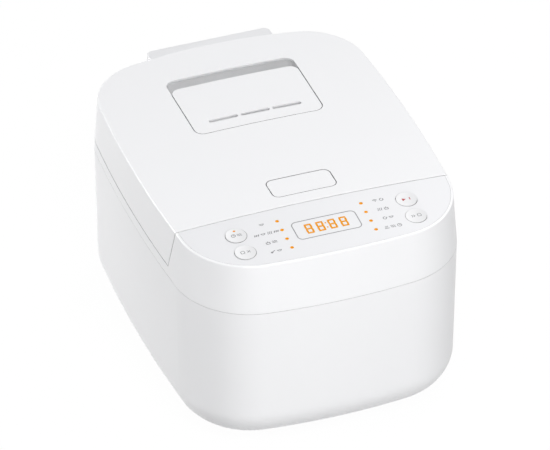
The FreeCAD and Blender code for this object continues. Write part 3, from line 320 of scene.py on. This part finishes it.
def speckled(name, colour, fleck, rough, scale, share):
    """Coating with flecks: that share of the cells of a pattern takes the fleck colour."""
    finish = Finish(name)
    cells = finish.node("ShaderNodeTexVoronoi", {}, {"Vector": finish.place, "Scale": scale}, "Color")
    pick = finish.node("ShaderNodeSeparateColor", {}, {"Color": cells}, "Red")
    fine = finish.noise(scale * FLECK_GRAIN)
    finish.feed("Base Color", finish.blend(pick.above(1.0 - share), colour, fleck))
    finish.feed("Roughness", fine * FLECK_SPREAD + rough)
    finish.bump(fine, FLECK_RELIEF, GRAIN_DEPTH)
    return finish.material


# Lit lenses and print

LENS_ROUGH = 0.35
LENS_GLOSS = 0.08
LENS_BODY = 0.35
LENS_CLOUD = 700.0
LENS_DEEP = 0.5
INK_SCALE = 1800.0
INK_THIN = 0.6
INK_ROUGH = 0.45
INK_SPREAD = 0.1


def lit(name, colour, deep, strength):
    """Lit lens: a bright colour that deepens in small clouds."""
    finish = Finish(name, Roughness=LENS_ROUGH, Emission_Strength=strength, Specular_IOR_Level=LENS_GLOSS)
    glow = finish.blend(finish.noise(LENS_CLOUD) * LENS_DEEP, colour, deep)
    finish.feed("Base Color", finish.scaled(glow, LENS_BODY))
    finish.feed("Emission Color", glow)
    return finish.material


def printed(name, colour, thin):
    """Screen print, a little uneven in its ink."""
    finish = Finish(name)
    ink = finish.noise(INK_SCALE)
    finish.feed("Base Color", finish.blend(ink * INK_THIN, colour, thin))
    finish.feed("Roughness", ink * INK_SPREAD + INK_ROUGH)
    return finish.material


FINISHES = {
    "shell_white": moulded("shell_white", SHELL_LIGHT, SHELL_DARK, SHELL_ROUGH, IOR=SHELL_IOR),
    "panel_white": moulded("panel_white", rgb(0.795, 0.795, 0.810), rgb(0.776, 0.778, 0.793), 0.38,
                           grain=2200.0, relief=0.05, IOR=1.48),
    "window_white": moulded("window_white", rgb(0.810, 0.810, 0.823), rgb(0.793, 0.795, 0.810), 0.22,
                            relief=0.01, IOR=1.48),
    "lamp_orange": lit("lamp_orange", rgb(0.89, 0.350, 0.001), rgb(0.86, 0.320, 0.001), 0.64),
    "inner_grey": moulded("inner_grey", rgb(0.60, 0.61, 0.63), rgb(0.56, 0.57, 0.59), 0.50,
                          grain=1200.0, relief=0.08),
    "foot_rubber": moulded("foot_rubber", rgb(0.045, 0.045, 0.047), rgb(0.03, 0.03, 0.031), 0.75,
                           grain=900.0, relief=0.15),
    "silicone": moulded("silicone", rgb(0.74, 0.75, 0.76), rgb(0.70, 0.71, 0.72), 0.55,
                        grain=700.0, relief=0.04),
    "steel": brushed("steel", rgb(0.60, 0.61, 0.62), rgb(0.46, 0.47, 0.48), 0.26, (30.0, 900.0, 900.0)),
    "pot_coat": speckled("pot_coat", rgb(0.022, 0.022, 0.024), rgb(0.10, 0.10, 0.105), 0.34,
                         scale=800.0, share=0.12),
    "aluminium": turned_metal("aluminium", rgb(0.72, 0.73, 0.74), rgb(0.58, 0.59, 0.60), 0.28, (0.0, POT_Y)),
    "board_green": speckled("board_green", rgb(0.012, 0.085, 0.040), rgb(0.05, 0.20, 0.09), 0.38,
                            scale=420.0, share=0.10),
    "component_black": moulded("component_black", rgb(0.020, 0.020, 0.022), rgb(0.012, 0.012, 0.013), 0.50,
                               grain=1000.0, relief=0.06),
    "heater_film": brushed("heater_film", rgb(0.42, 0.20, 0.045), rgb(0.24, 0.10, 0.02), 0.40,
                           (200.0, 200.0, 900.0), metallic=0.2),
    "brass": brushed("brass", rgb(0.72, 0.52, 0.20), rgb(0.52, 0.36, 0.12), 0.25, (800.0, 60.0, 800.0)),
}
INK_GREY = printed("ink_grey", rgb(0.20, 0.20, 0.21), rgb(0.30, 0.30, 0.31))
INK_LINE = printed("ink_line", rgb(0.23, 0.23, 0.24), rgb(0.30, 0.30, 0.31))
INK_RED = printed("ink_red", rgb(0.42, 0.03, 0.035), rgb(0.52, 0.06, 0.06))
GLOW = lit("segment_orange", rgb(0.87, 0.350, 0.001), rgb(0.85, 0.325, 0.001), 0.62)

# Pieces whose finish differs from the others in their slot
CAP_SLOTS_Y = 0.036
CAP_SLOTS_HALF_W = 0.046
OWN_FINISH = {
    # Vent well: a white brighter than the shell's, painted light in the shaded gutter and slots, with weaker
    # painted gap shade
    "vent_cup": moulded("vent_well_white", rgb(0.940, 0.940, 0.946), rgb(0.925, 0.927, 0.935), 0.45,
                        grain=1200.0, relief=0.04, gap_shade_depth=0.2),
    "vent_cap": flush_cap("steam_cap_white", (CAP_SLOTS_Y, CAP_SLOTS_HALF_W)),
    # Hinge strip: the shell white made darker, painted shade for its lower top that gets less light
    "hinge_cover": moulded("hinge_strip_white", rgb(0.800, 0.800, 0.812), rgb(0.780, 0.782, 0.795),
                           SHELL_ROUGH, IOR=SHELL_IOR),
    "release_button": flush_cap("button_white"),
}
for key, (key_x, key_s) in KEYS.items():
    OWN_FINISH[key + "_key"] = painted_shading_key(key + "_key_painted_shading", key_x, key_s)

for part in frame["record"]["subparts"]:
    name = part["node"]
    node = frame["nodes"][name]
    finish = OWN_FINISH[name] if name in OWN_FINISH else FINISHES[part["material_slot"]]
    if not node.material_slots:
        node.data.materials.append(finish)
    for holder in node.material_slots:
        holder.material = finish


# Making of pieces

def mesh_object(name, points, faces, material):
    """Object at the origin with a mesh of the given points and faces."""
    mesh = bpy.data.meshes.new(name)
    mesh.from_pydata(points.tolist(), [], faces.tolist())
    mesh.validate()
    mesh.materials.append(material)
    piece = bpy.data.objects.new(name, mesh)
    bpy.context.scene.collection.objects.link(piece)
    return piece


def add_piece(name, points, faces, material, body):
    """Piece of the cooker that rides a body."""
    piece = mesh_object(name, points, faces, material)
    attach(piece, body)


# Deck between the pot's mouth and the walls, shown when the lid is open

POT_HOLE_R = 0.108
DECK_Z = 0.152
DECK_T = 0.0025
DECK_BITE = 0.0016
DECK_FRONT_Y = -0.0870
DECK_STEPS = 720
BACK_Y = 0.165
LEAST_COS = 0.05
SLACK = 1e-5
DECK_SLOT = next(p["material_slot"] for p in frame["record"]["subparts"] if p["node"] == "upper_frame")


def wall_reach(angles):
    """Distance from the pot's axis to the body's convex outline: over all directions, the least of the
    outline's extent in a direction divided by the cosine of the angle to it."""
    mesh = frame["nodes"]["upper_frame"].data
    points = np.empty(len(mesh.vertices) * 3)
    mesh.vertices.foreach_get("co", points)
    points = points.reshape(-1, 3)
    wall = points[(points[:, 2] < DECK_Z) & (points[:, 1] < BACK_Y + SLACK)]
    ways = np.linspace(-np.pi, np.pi, DECK_STEPS, endpoint=False)
    extent = ((wall[:, :2] - (0.0, POT_Y)) @ np.stack([np.cos(ways), np.sin(ways)])).max(axis=0)
    return (extent / np.maximum(np.cos(angles[:, None] - ways), LEAST_COS)).min(axis=1)


def pot_deck():
    """Slab round the pot's axis: at each angle a rectangle from the pot's hole out into the wall, or to the
    panel at the front."""
    angles = np.linspace(-np.pi, np.pi, DECK_STEPS, endpoint=False)
    front = (POT_Y - DECK_FRONT_Y) / np.maximum(-np.sin(angles), LEAST_COS)
    outer = np.minimum(wall_reach(angles) - DECK_BITE, front)
    inner = np.full(DECK_STEPS, POT_HOLE_R)
    radius = np.stack([inner, outer, outer, inner], -1)
    low = DECK_Z - DECK_T
    height = np.broadcast_to([DECK_Z, DECK_Z, low, low], radius.shape)
    turn = angles[:, None]
    points = np.stack([radius * np.cos(turn), POT_Y + radius * np.sin(turn), height], -1).reshape(-1, 3)
    i, j = np.meshgrid(np.arange(DECK_STEPS), np.arange(4), indexing="ij")
    ahead, beside = (i + 1) % DECK_STEPS, (j + 1) % 4
    faces = np.stack([i * 4 + j, i * 4 + beside, ahead * 4 + beside, ahead * 4 + j], -1).reshape(-1, 4)
    add_piece("pot_deck", points, faces, FINISHES[DECK_SLOT], "base")


pot_deck()


# Baffle close under the steam slots

SLOT_Y = 0.0475
BAFFLE_HALF_W = 0.0455
BAFFLE_FRONT = 0.0026
BAFFLE_REAR = 0.0032
BAFFLE_DROP = 0.0029
BAFFLE_COLUMNS = 33


def slot_baffle():
    """Curved strip: across the cap it keeps a fixed drop below the crown's arc; from front to rear it is
    straight."""
    x, y = np.meshgrid(np.linspace(-BAFFLE_HALF_W, BAFFLE_HALF_W, BAFFLE_COLUMNS),
                       (SLOT_Y - BAFFLE_FRONT, SLOT_Y + BAFFLE_REAR), indexing="ij")
    z = CREST_Z - CROWN_R + np.sqrt(CROWN_R ** 2 - x ** 2) - BAFFLE_DROP
    points = np.stack([x, y, z], -1).reshape(-1, 3)
    first = 2 * np.arange(BAFFLE_COLUMNS - 1)
    faces = np.stack([first, first + 2, first + 3, first + 1], -1)
    # The baffle takes the vent well's finish, with its painted light
    add_piece("slot_baffle", points, faces, OWN_FINISH["vent_cup"], "steam_cap")


slot_baffle()


# Surfaces that carry print, as functions of x, s and a height over the surface

def on_panel(x, s, lift):
    """Point on the tilted control panel: the crown's arc across x, turned about the lid's front edge."""
    fall = np.sqrt(CROWN_R ** 2 - x ** 2) - CROWN_R + lift
    y = LID_FRONT_Y + s * math.cos(PANEL_TILT) - fall * math.sin(PANEL_TILT)
    z = CREST_Z + s * math.sin(PANEL_TILT) + fall * math.cos(PANEL_TILT)
    return np.stack([x, y, z], -1)


def on_key(key_x, key_s):
    """Point on a key's domed top: a spherical cap that stands proud of the panel at the key's middle."""
    radius = (KEY_R ** 2 + KEY_DOME ** 2) / (2 * KEY_DOME)

    def place(x, s, lift):
        reach = (x - key_x) ** 2 + (s - key_s) ** 2
        rise = np.sqrt(radius ** 2 - reach) - radius + KEY_DOME + KEY_PROUD
        level = math.sqrt(CROWN_R ** 2 - key_x ** 2) - np.sqrt(CROWN_R ** 2 - x ** 2)
        return on_panel(x, s, rise + level + lift)
    return place


# Strokes: a path in x and s with a half width at each of its points

MARK = 0.0022
TIP = 1e-5 / MARK
PRINT_LIFT = 0.00004
FRAME_CORNER_POINTS = 13
FRAME_SIDE_STEPS = 26


def line(x0, s0, x1, s1, half, count=5):
    """Straight stroke."""
    t = np.linspace(0.0, 1.0, count)
    return np.stack([x0 + (x1 - x0) * t, s0 + (s1 - s0) * t], -1), np.full(count, half)


def arc(x, s, radius, start, end, half, count=33):
    """Stroke along a circular arc, angles in degrees."""
    a = np.radians(np.linspace(start, end, count))
    return np.stack([x + radius * np.cos(a), s + radius * np.sin(a)], -1), np.full(count, half)


def wedge(x0, s0, x1, s1, half, count=5):
    """Straight stroke of a mark, whose half width falls to a tip at its far end."""
    path, _ = line(x0, s0, x1, s1, half, count)
    return path, np.linspace(half, TIP, count)


def lozenge(x0, s0, x1, s1, half, count=9):
    """Straight stroke of a mark with pointed ends: the half width is the lesser of half and the distance to
    the nearer end."""
    path, _ = line(x0, s0, x1, s1, half, count)
    along = np.linspace(0.0, math.hypot(x1 - x0, s1 - s0), count)
    return path, np.minimum(half, np.minimum(along, along[-1] - along) + TIP)


def dot(x, s, radius, count=17):
    """Round dot: a stroke along x whose half width is the circle's chord."""
    t = np.linspace(-1.0, 1.0, count)
    chord = np.sqrt(np.maximum(1 - t ** 2, 1e-6))
    return np.stack([x + radius * t, np.full(count, s)], -1), radius * chord


def rising_wave(x, sway, reach, half, count=21):
    """Stroke that rises through its middle and sways by one sine wave in x."""
    t = np.linspace(-1.0, 1.0, count)
    return np.stack([x + sway * np.sin(t * math.pi), t * reach], -1), np.full(count, half)


def level_wave(s, sway, half, count=21):
    """Stroke from -1 to 1 in x that sways by two sine waves in s."""
    t = np.linspace(-1.0, 1.0, count)
    return np.stack([t, s + sway * np.sin(t * 2 * math.pi)], -1), np.full(count, half)


def rounded_frame(x, s, width, length, radius, half):
    """Closed stroke round a rectangle with round corners: four quarter arcs, with the straight sides
    between them cut in steps."""
    corners = [(1, 1, 0), (-1, 1, 90), (-1, -1, 180), (1, -1, 270)]
    arcs = [arc(x + sx * (width / 2 - radius), s + ss * (length / 2 - radius), radius, a, a + 90, half,
                FRAME_CORNER_POINTS)[0] for sx, ss, a in corners]
    steps = np.linspace(0.0, 1.0, FRAME_SIDE_STEPS)[1:-1, None]
    sides = [a[-1] + (b[0] - a[-1]) * steps for a, b in zip(arcs, arcs[1:] + arcs[:1])]
    path = np.concatenate([run for pair in zip(arcs, sides) for run in pair] + [arcs[0][:1]])
    return path, np.full(len(path), half)


def stroke_grid(path, half):
    """Three points across the stroke at each point of its path: left edge, middle, right edge."""
    run = np.gradient(path, axis=0)
    run /= np.linalg.norm(run, axis=1, keepdims=True)
    side = np.stack([-run[:, 1], run[:, 0]], -1) * half[:, None]
    return np.stack([path - side, path, path + side], 1)


def printed_piece(name, strokes, place, material, body):
    """All strokes laid on a surface; faces are quads of each stroke's grid, turned to point up."""
    points, faces, start = [], [], 0
    for path, half in strokes:
        grid = stroke_grid(path, half)
        rows = len(path)
        points.append(place(grid[..., 0].ravel(), grid[..., 1].ravel(), PRINT_LIFT))
        i, j = np.meshgrid(np.arange(rows - 1), np.arange(2), indexing="ij")
        a = start + (i * 3 + j).ravel()
        faces.append(np.stack([a, a + 3, a + 4, a + 1], -1))
        start += rows * 3
    points = np.concatenate(points)
    faces = np.concatenate(faces)
    corner = points[faces]
    up = np.cross(corner[:, 1] - corner[:, 0], corner[:, 2] - corner[:, 0])[:, 2]
    faces = np.where((up < 0)[:, None], faces[:, ::-1], faces)
    add_piece(name, points, faces, material, body)


# Display: a drawn frame and four seven-segment figures

DISPLAY_S = -0.0353
DISPLAY_W = 0.0588
DISPLAY_L = 0.0237
DISPLAY_R = 0.0045
DISPLAY_LINE_HALF = 0.00042
FIGURE_X = (-0.0160, -0.0055, 0.0055, 0.0160)
FIGURE_W = 0.0051
FIGURE_H = 0.0110
SEGMENT_HALF = 0.00092
SEGMENT_OUT = 0.7 * SEGMENT_HALF
SEGMENT_IN = 1.1 * SEGMENT_HALF
COLON_S = 0.0030
COLON_R = 0.00085
TIMER_LAMP_S = 0.0056
TIMER_LAMP_R = 0.00115


def figure_eight(x):
    """Seven straight segments of one figure: three level ones run into the corners, and four upright ones
    stand between them with a small gap at each end."""
    w, h, q = FIGURE_W / 2 + SEGMENT_OUT, FIGURE_H / 2, FIGURE_H / 4 - SEGMENT_IN
    level = [line(x - w, DISPLAY_S + k * h, x + w, DISPLAY_S + k * h, SEGMENT_HALF) for k in (-1, 0, 1)]
    upright = [line(x + i * FIGURE_W / 2, middle - q, x + i * FIGURE_W / 2, middle + q, SEGMENT_HALF)
               for i in (-1, 1) for middle in (DISPLAY_S - h / 2, DISPLAY_S + h / 2)]
    return level + upright


def display():
    """Figures with the colon between them, the timer key's lamp, and the frame line."""
    figures = [stroke for x in FIGURE_X for stroke in figure_eight(x)]
    figures += [dot(0.0, DISPLAY_S + k * COLON_S, COLON_R) for k in (-1, 1)]
    printed_piece("display_figures", figures, on_panel, GLOW, "base")
    x, s = KEYS["timer"]
    lens = dot(x, s + TIMER_LAMP_S, TIMER_LAMP_R)
    printed_piece("timer_lamp_lens", [lens], on_key(x, s), GLOW, "timer")
    outline = rounded_frame(0.0, DISPLAY_S, DISPLAY_W, DISPLAY_L, DISPLAY_R, DISPLAY_LINE_HALF)
    printed_piece("display_frame", [outline], on_panel, INK_LINE, "base")


display()


# Marks, drawn about their middle in units of their size

LINE = 0.13


def moved(strokes, x, s, size):
    """Strokes scaled by a size and carried to a place."""
    return [(path * size + (x, s), half * size) for path, half in strokes]


def in_row(icons, x, s, size, pitch):
    """Marks side by side, centred on x."""
    first = x - pitch * (len(icons) - 1) / 2
    return [stroke for i, icon in enumerate(icons) for stroke in moved(icon, first + i * pitch, s, size)]


# Half round bowl with a flat rim
BOWL = [arc(0, 0.35, 0.75, 180, 360, LINE), line(-1, 0.35, 1, 0.35, LINE)]
# Three slanted grains
GRAINS = [lozenge(k - 0.25, -0.6, k + 0.25, 0.6, 0.22) for k in (-0.75, 0.0, 0.75)]
# Pot with its lid and knob
COVERED_POT = [line(-0.95, 0.3, 0.95, 0.3, LINE), line(-0.7, 0.3, -0.7, -0.7, LINE),
               line(0.7, 0.3, 0.7, -0.7, LINE), line(-0.8, -0.7, 0.8, -0.7, LINE), dot(0, 0.72, 0.22)]
# Round ladle with a straight handle
LADLE = [dot(-0.5, -0.25, 0.5), line(-0.2, 0, 1.0, 0.7, 0.15)]
# Clock face with two hands
CLOCK = [arc(0, 0, 0.85, 0, 360, LINE), line(0, 0, 0, 0.55, LINE), line(0, 0, 0.45, 0, LINE)]
# Three wavy lines that rise side by side
STEAM = [rising_wave(k, 0.16, 0.8, LINE) for k in (-0.7, 0.0, 0.7)]
# Open ring that ends in an arrow head
LOOP = [arc(0, 0, 0.7, 60, 360, 0.14), wedge(0.7, -0.1, 0.7, 0.6, 0.38)]
# Two level ripples
WAVES = [level_wave(k, 0.2, LINE) for k in (-0.4, 0.4)]
# Dot with two arcs above it
BEACON = [dot(0, -0.6, 0.2), arc(0, -0.6, 0.7, 40, 140, LINE), arc(0, -0.6, 1.25, 40, 140, LINE)]
# Level plate under three short wavy lines
FLAT_PLATE = moved(STEAM, 0.0, 0.3, 0.65) + [line(-1, -0.7, 1, -0.7, 0.15)]
# Square frame
SQUARE = [rounded_frame(0, 0, 1.5, 1.5, 0.25, LINE)]
# Two crossed strokes
CROSS = [line(-0.65, -0.65, 0.65, 0.65, LINE), line(-0.65, 0.65, 0.65, -0.65, LINE)]
# Filled triangle that points right
TRIANGLE = [wedge(-0.65, 0, 0.95, 0, 0.85)]
# Two chevrons
CHEVRONS = [line(k, e, k + 0.6, 0, LINE) for k in (-0.75, 0.1) for e in (-0.7, 0.7)]
# Upright bar
BAR = [line(0, -0.75, 0, 0.75, 0.2)]


# Programme marks beside the lamps, and marks on the keys

LAMP_FIRST_S = -0.0166
LAMP_PITCH = 0.0125
MARK_PITCH = 0.0060
LEFT_X, RIGHT_X = -0.0533, 0.0548
LEFT_ROWS = ((BOWL,), (GRAINS, BOWL, STEAM, GRAINS), (COVERED_POT, WAVES), (LADLE, BOWL))
RIGHT_ROWS = ((BEACON, LOOP), (STEAM, COVERED_POT), (LOOP, BOWL), (FLAT_PLATE, WAVES, CLOCK))
KEY_MARK = 0.0021
KEY_MARK_PITCH = 0.0055
KEY_MARK_DROP = 0.0005
KEY_ICONS = {
    "timer": (CLOCK, WAVES),
    "cancel": (SQUARE, CROSS),
    "start": (TRIANGLE, BAR),
    "select": (CHEVRONS, SQUARE),
}


def panel_marks():
    """A row of marks beside each lamp, and two marks on each key."""
    programme = []
    for column, column_x in ((LEFT_ROWS, LEFT_X), (RIGHT_ROWS, RIGHT_X)):
        for k, icons in enumerate(column):
            programme += in_row(icons, column_x, LAMP_FIRST_S - k * LAMP_PITCH, MARK, MARK_PITCH)
    printed_piece("programme_marks", programme, on_panel, INK_GREY, "base")
    for key, (x, s) in KEYS.items():
        marks = in_row(KEY_ICONS[key], x, s - KEY_MARK_DROP, KEY_MARK, KEY_MARK_PITCH)
        ink = INK_RED if key == "start" else INK_GREY
        printed_piece(key + "_mark", marks, on_key(x, s), ink, key)


panel_marks()


# Stage: pale floor, soft lamps, white surroundings

WHITE = rgb(1, 1, 1)
FLOOR_REACH = 8.0
FLOOR_CLOUD = 3.0
FLOOR_GLOW = 1.05
FLOOR_GLOW_SHARE = 0.93
SKY_COLOUR = rgb(0.98, 0.985, 1.0)
SKY_ZENITH = 0.94
SKY_HORIZON = 0.10
SKY_POWER = 4.0


def make_floor():
    """Level square far larger than the view: white to the eye, with a share of its own shading, which keeps
    the shadow."""
    finish = Finish("floor_pale", Roughness=0.9)
    cloud = finish.noise(FLOOR_CLOUD)
    finish.feed("Base Color", finish.blend(cloud, rgb(0.36, 0.36, 0.36), rgb(0.34, 0.34, 0.34)))
    glow = finish.node("ShaderNodeEmission", {}, {"Color": WHITE, "Strength": FLOOR_GLOW})
    shaded = Val(finish, finish.shader.outputs[0])
    mixed = finish.mix_shaders(finish.seen() * FLOOR_GLOW_SHARE, shaded, glow)
    finish.tree.links.new(mixed.socket, finish.tree.nodes["Material Output"].inputs["Surface"])
    corners = np.array([(-1, -1, 0), (1, -1, 0), (1, 1, 0), (-1, 1, 0)]) * FLOOR_REACH
    mesh_object("floor", corners, np.array([(0, 1, 2, 3)]), finish.material)


def make_world():
    """White to the eye and in reflections; to everything it lights, a sky whose strength grows with a power
    of the height."""
    world = bpy.data.worlds.new("surroundings")
    bpy.context.scene.world = world
    world.use_nodes = True
    tree = world.node_tree
    tree.nodes.clear()
    sky = Nodes(tree)
    way = sky.node("ShaderNodeTexCoord", {}, {}, "Generated")
    height = sky.node("ShaderNodeSeparateXYZ", {}, {"Vector": way}, "Z")
    above = sky.node("ShaderNodeClamp", {}, {"Value": height})
    strength = above ** SKY_POWER * SKY_ZENITH + SKY_HORIZON
    dome = sky.node("ShaderNodeBackground", {}, {"Color": SKY_COLOUR, "Strength": strength})
    white = sky.node("ShaderNodeBackground", {}, {"Color": WHITE, "Strength": 1.0})
    mixed = sky.mix_shaders(sky.seen(), dome, white)
    tree.links.new(mixed.socket, tree.nodes.new("ShaderNodeOutputWorld").inputs["Surface"])


def make_lamp(name, place, aim_z, size, watts):
    """Soft rectangular lamp that faces a point on the cooker's vertical axis."""
    light = bpy.data.lights.new(name, "AREA")
    light.shape = "RECTANGLE"
    light.size, light.size_y = size
    light.energy = watts
    lamp = bpy.data.objects.new(name, light)
    lamp.location = place
    aim = Vector((0.0, 0.0, aim_z)) - Vector(place)
    lamp.rotation_euler = aim.to_track_quat("-Z", "Y").to_euler()
    bpy.context.scene.collection.objects.link(lamp)


# Camera: the picture's size, focal length and the middle of the lid's front edge are in pixels
PICTURE_W, PICTURE_H = 550.0, 450.0
FOCAL_PX = 8000.0
FRONT_EDGE_PX = (312.4, 200.4)
VIEW_AZIMUTH = math.radians(-20.24)
VIEW_ELEVATION = math.radians(35.54)
VIEW_DISTANCE = 6.9686
SENSOR_W = 36.0
CLIP_END = 100.0


def make_camera():
    """Long lens at the picture's angle; the camera slides in its own plane so that the middle of the lid's
    front edge lands on its pixel."""
    a, e = VIEW_AZIMUTH, VIEW_ELEVATION
    back = Vector((math.sin(a) * math.cos(e), -math.cos(a) * math.cos(e), math.sin(e)))
    right = Vector((math.cos(a), math.sin(a), 0.0))
    up = back.cross(right)
    per_pixel = VIEW_DISTANCE / FOCAL_PX
    across = (FRONT_EDGE_PX[0] - PICTURE_W / 2) * per_pixel
    down = (FRONT_EDGE_PX[1] - PICTURE_H / 2) * per_pixel
    centre = Vector((0.0, LID_FRONT_Y, CREST_Z)) - right * across + up * down
    data = bpy.data.cameras.new("camera")
    data.sensor_fit = "HORIZONTAL"
    data.sensor_width = SENSOR_W
    data.lens = SENSOR_W * FOCAL_PX / PICTURE_W
    data.clip_end = CLIP_END
    camera = bpy.data.objects.new("camera", data)
    turn = Matrix((right, up, back)).transposed().to_4x4()
    camera.matrix_world = Matrix.Translation(centre + back * VIEW_DISTANCE) @ turn
    bpy.context.scene.collection.objects.link(camera)
    bpy.context.scene.camera = camera


make_floor()
make_world()
make_lamp("front_lamp", place=(-0.12, -2.40, 0.45), aim_z=0.08, size=(1.0, 0.7), watts=23.3)
make_lamp("high_lamp", place=(-0.10, -1.40, 1.85), aim_z=0.15, size=(1.0, 0.8), watts=22.0)
make_lamp("left_lamp", place=(-1.84, 1.55, 0.18), aim_z=0.1, size=(0.9, 0.7), watts=45.5)
make_lamp("top_lamp", place=(0.85, 0.60, 1.40), aim_z=0.2, size=(0.8, 0.8), watts=7.3)
make_camera()
bpy.context.scene.view_settings.view_transform = "Standard"
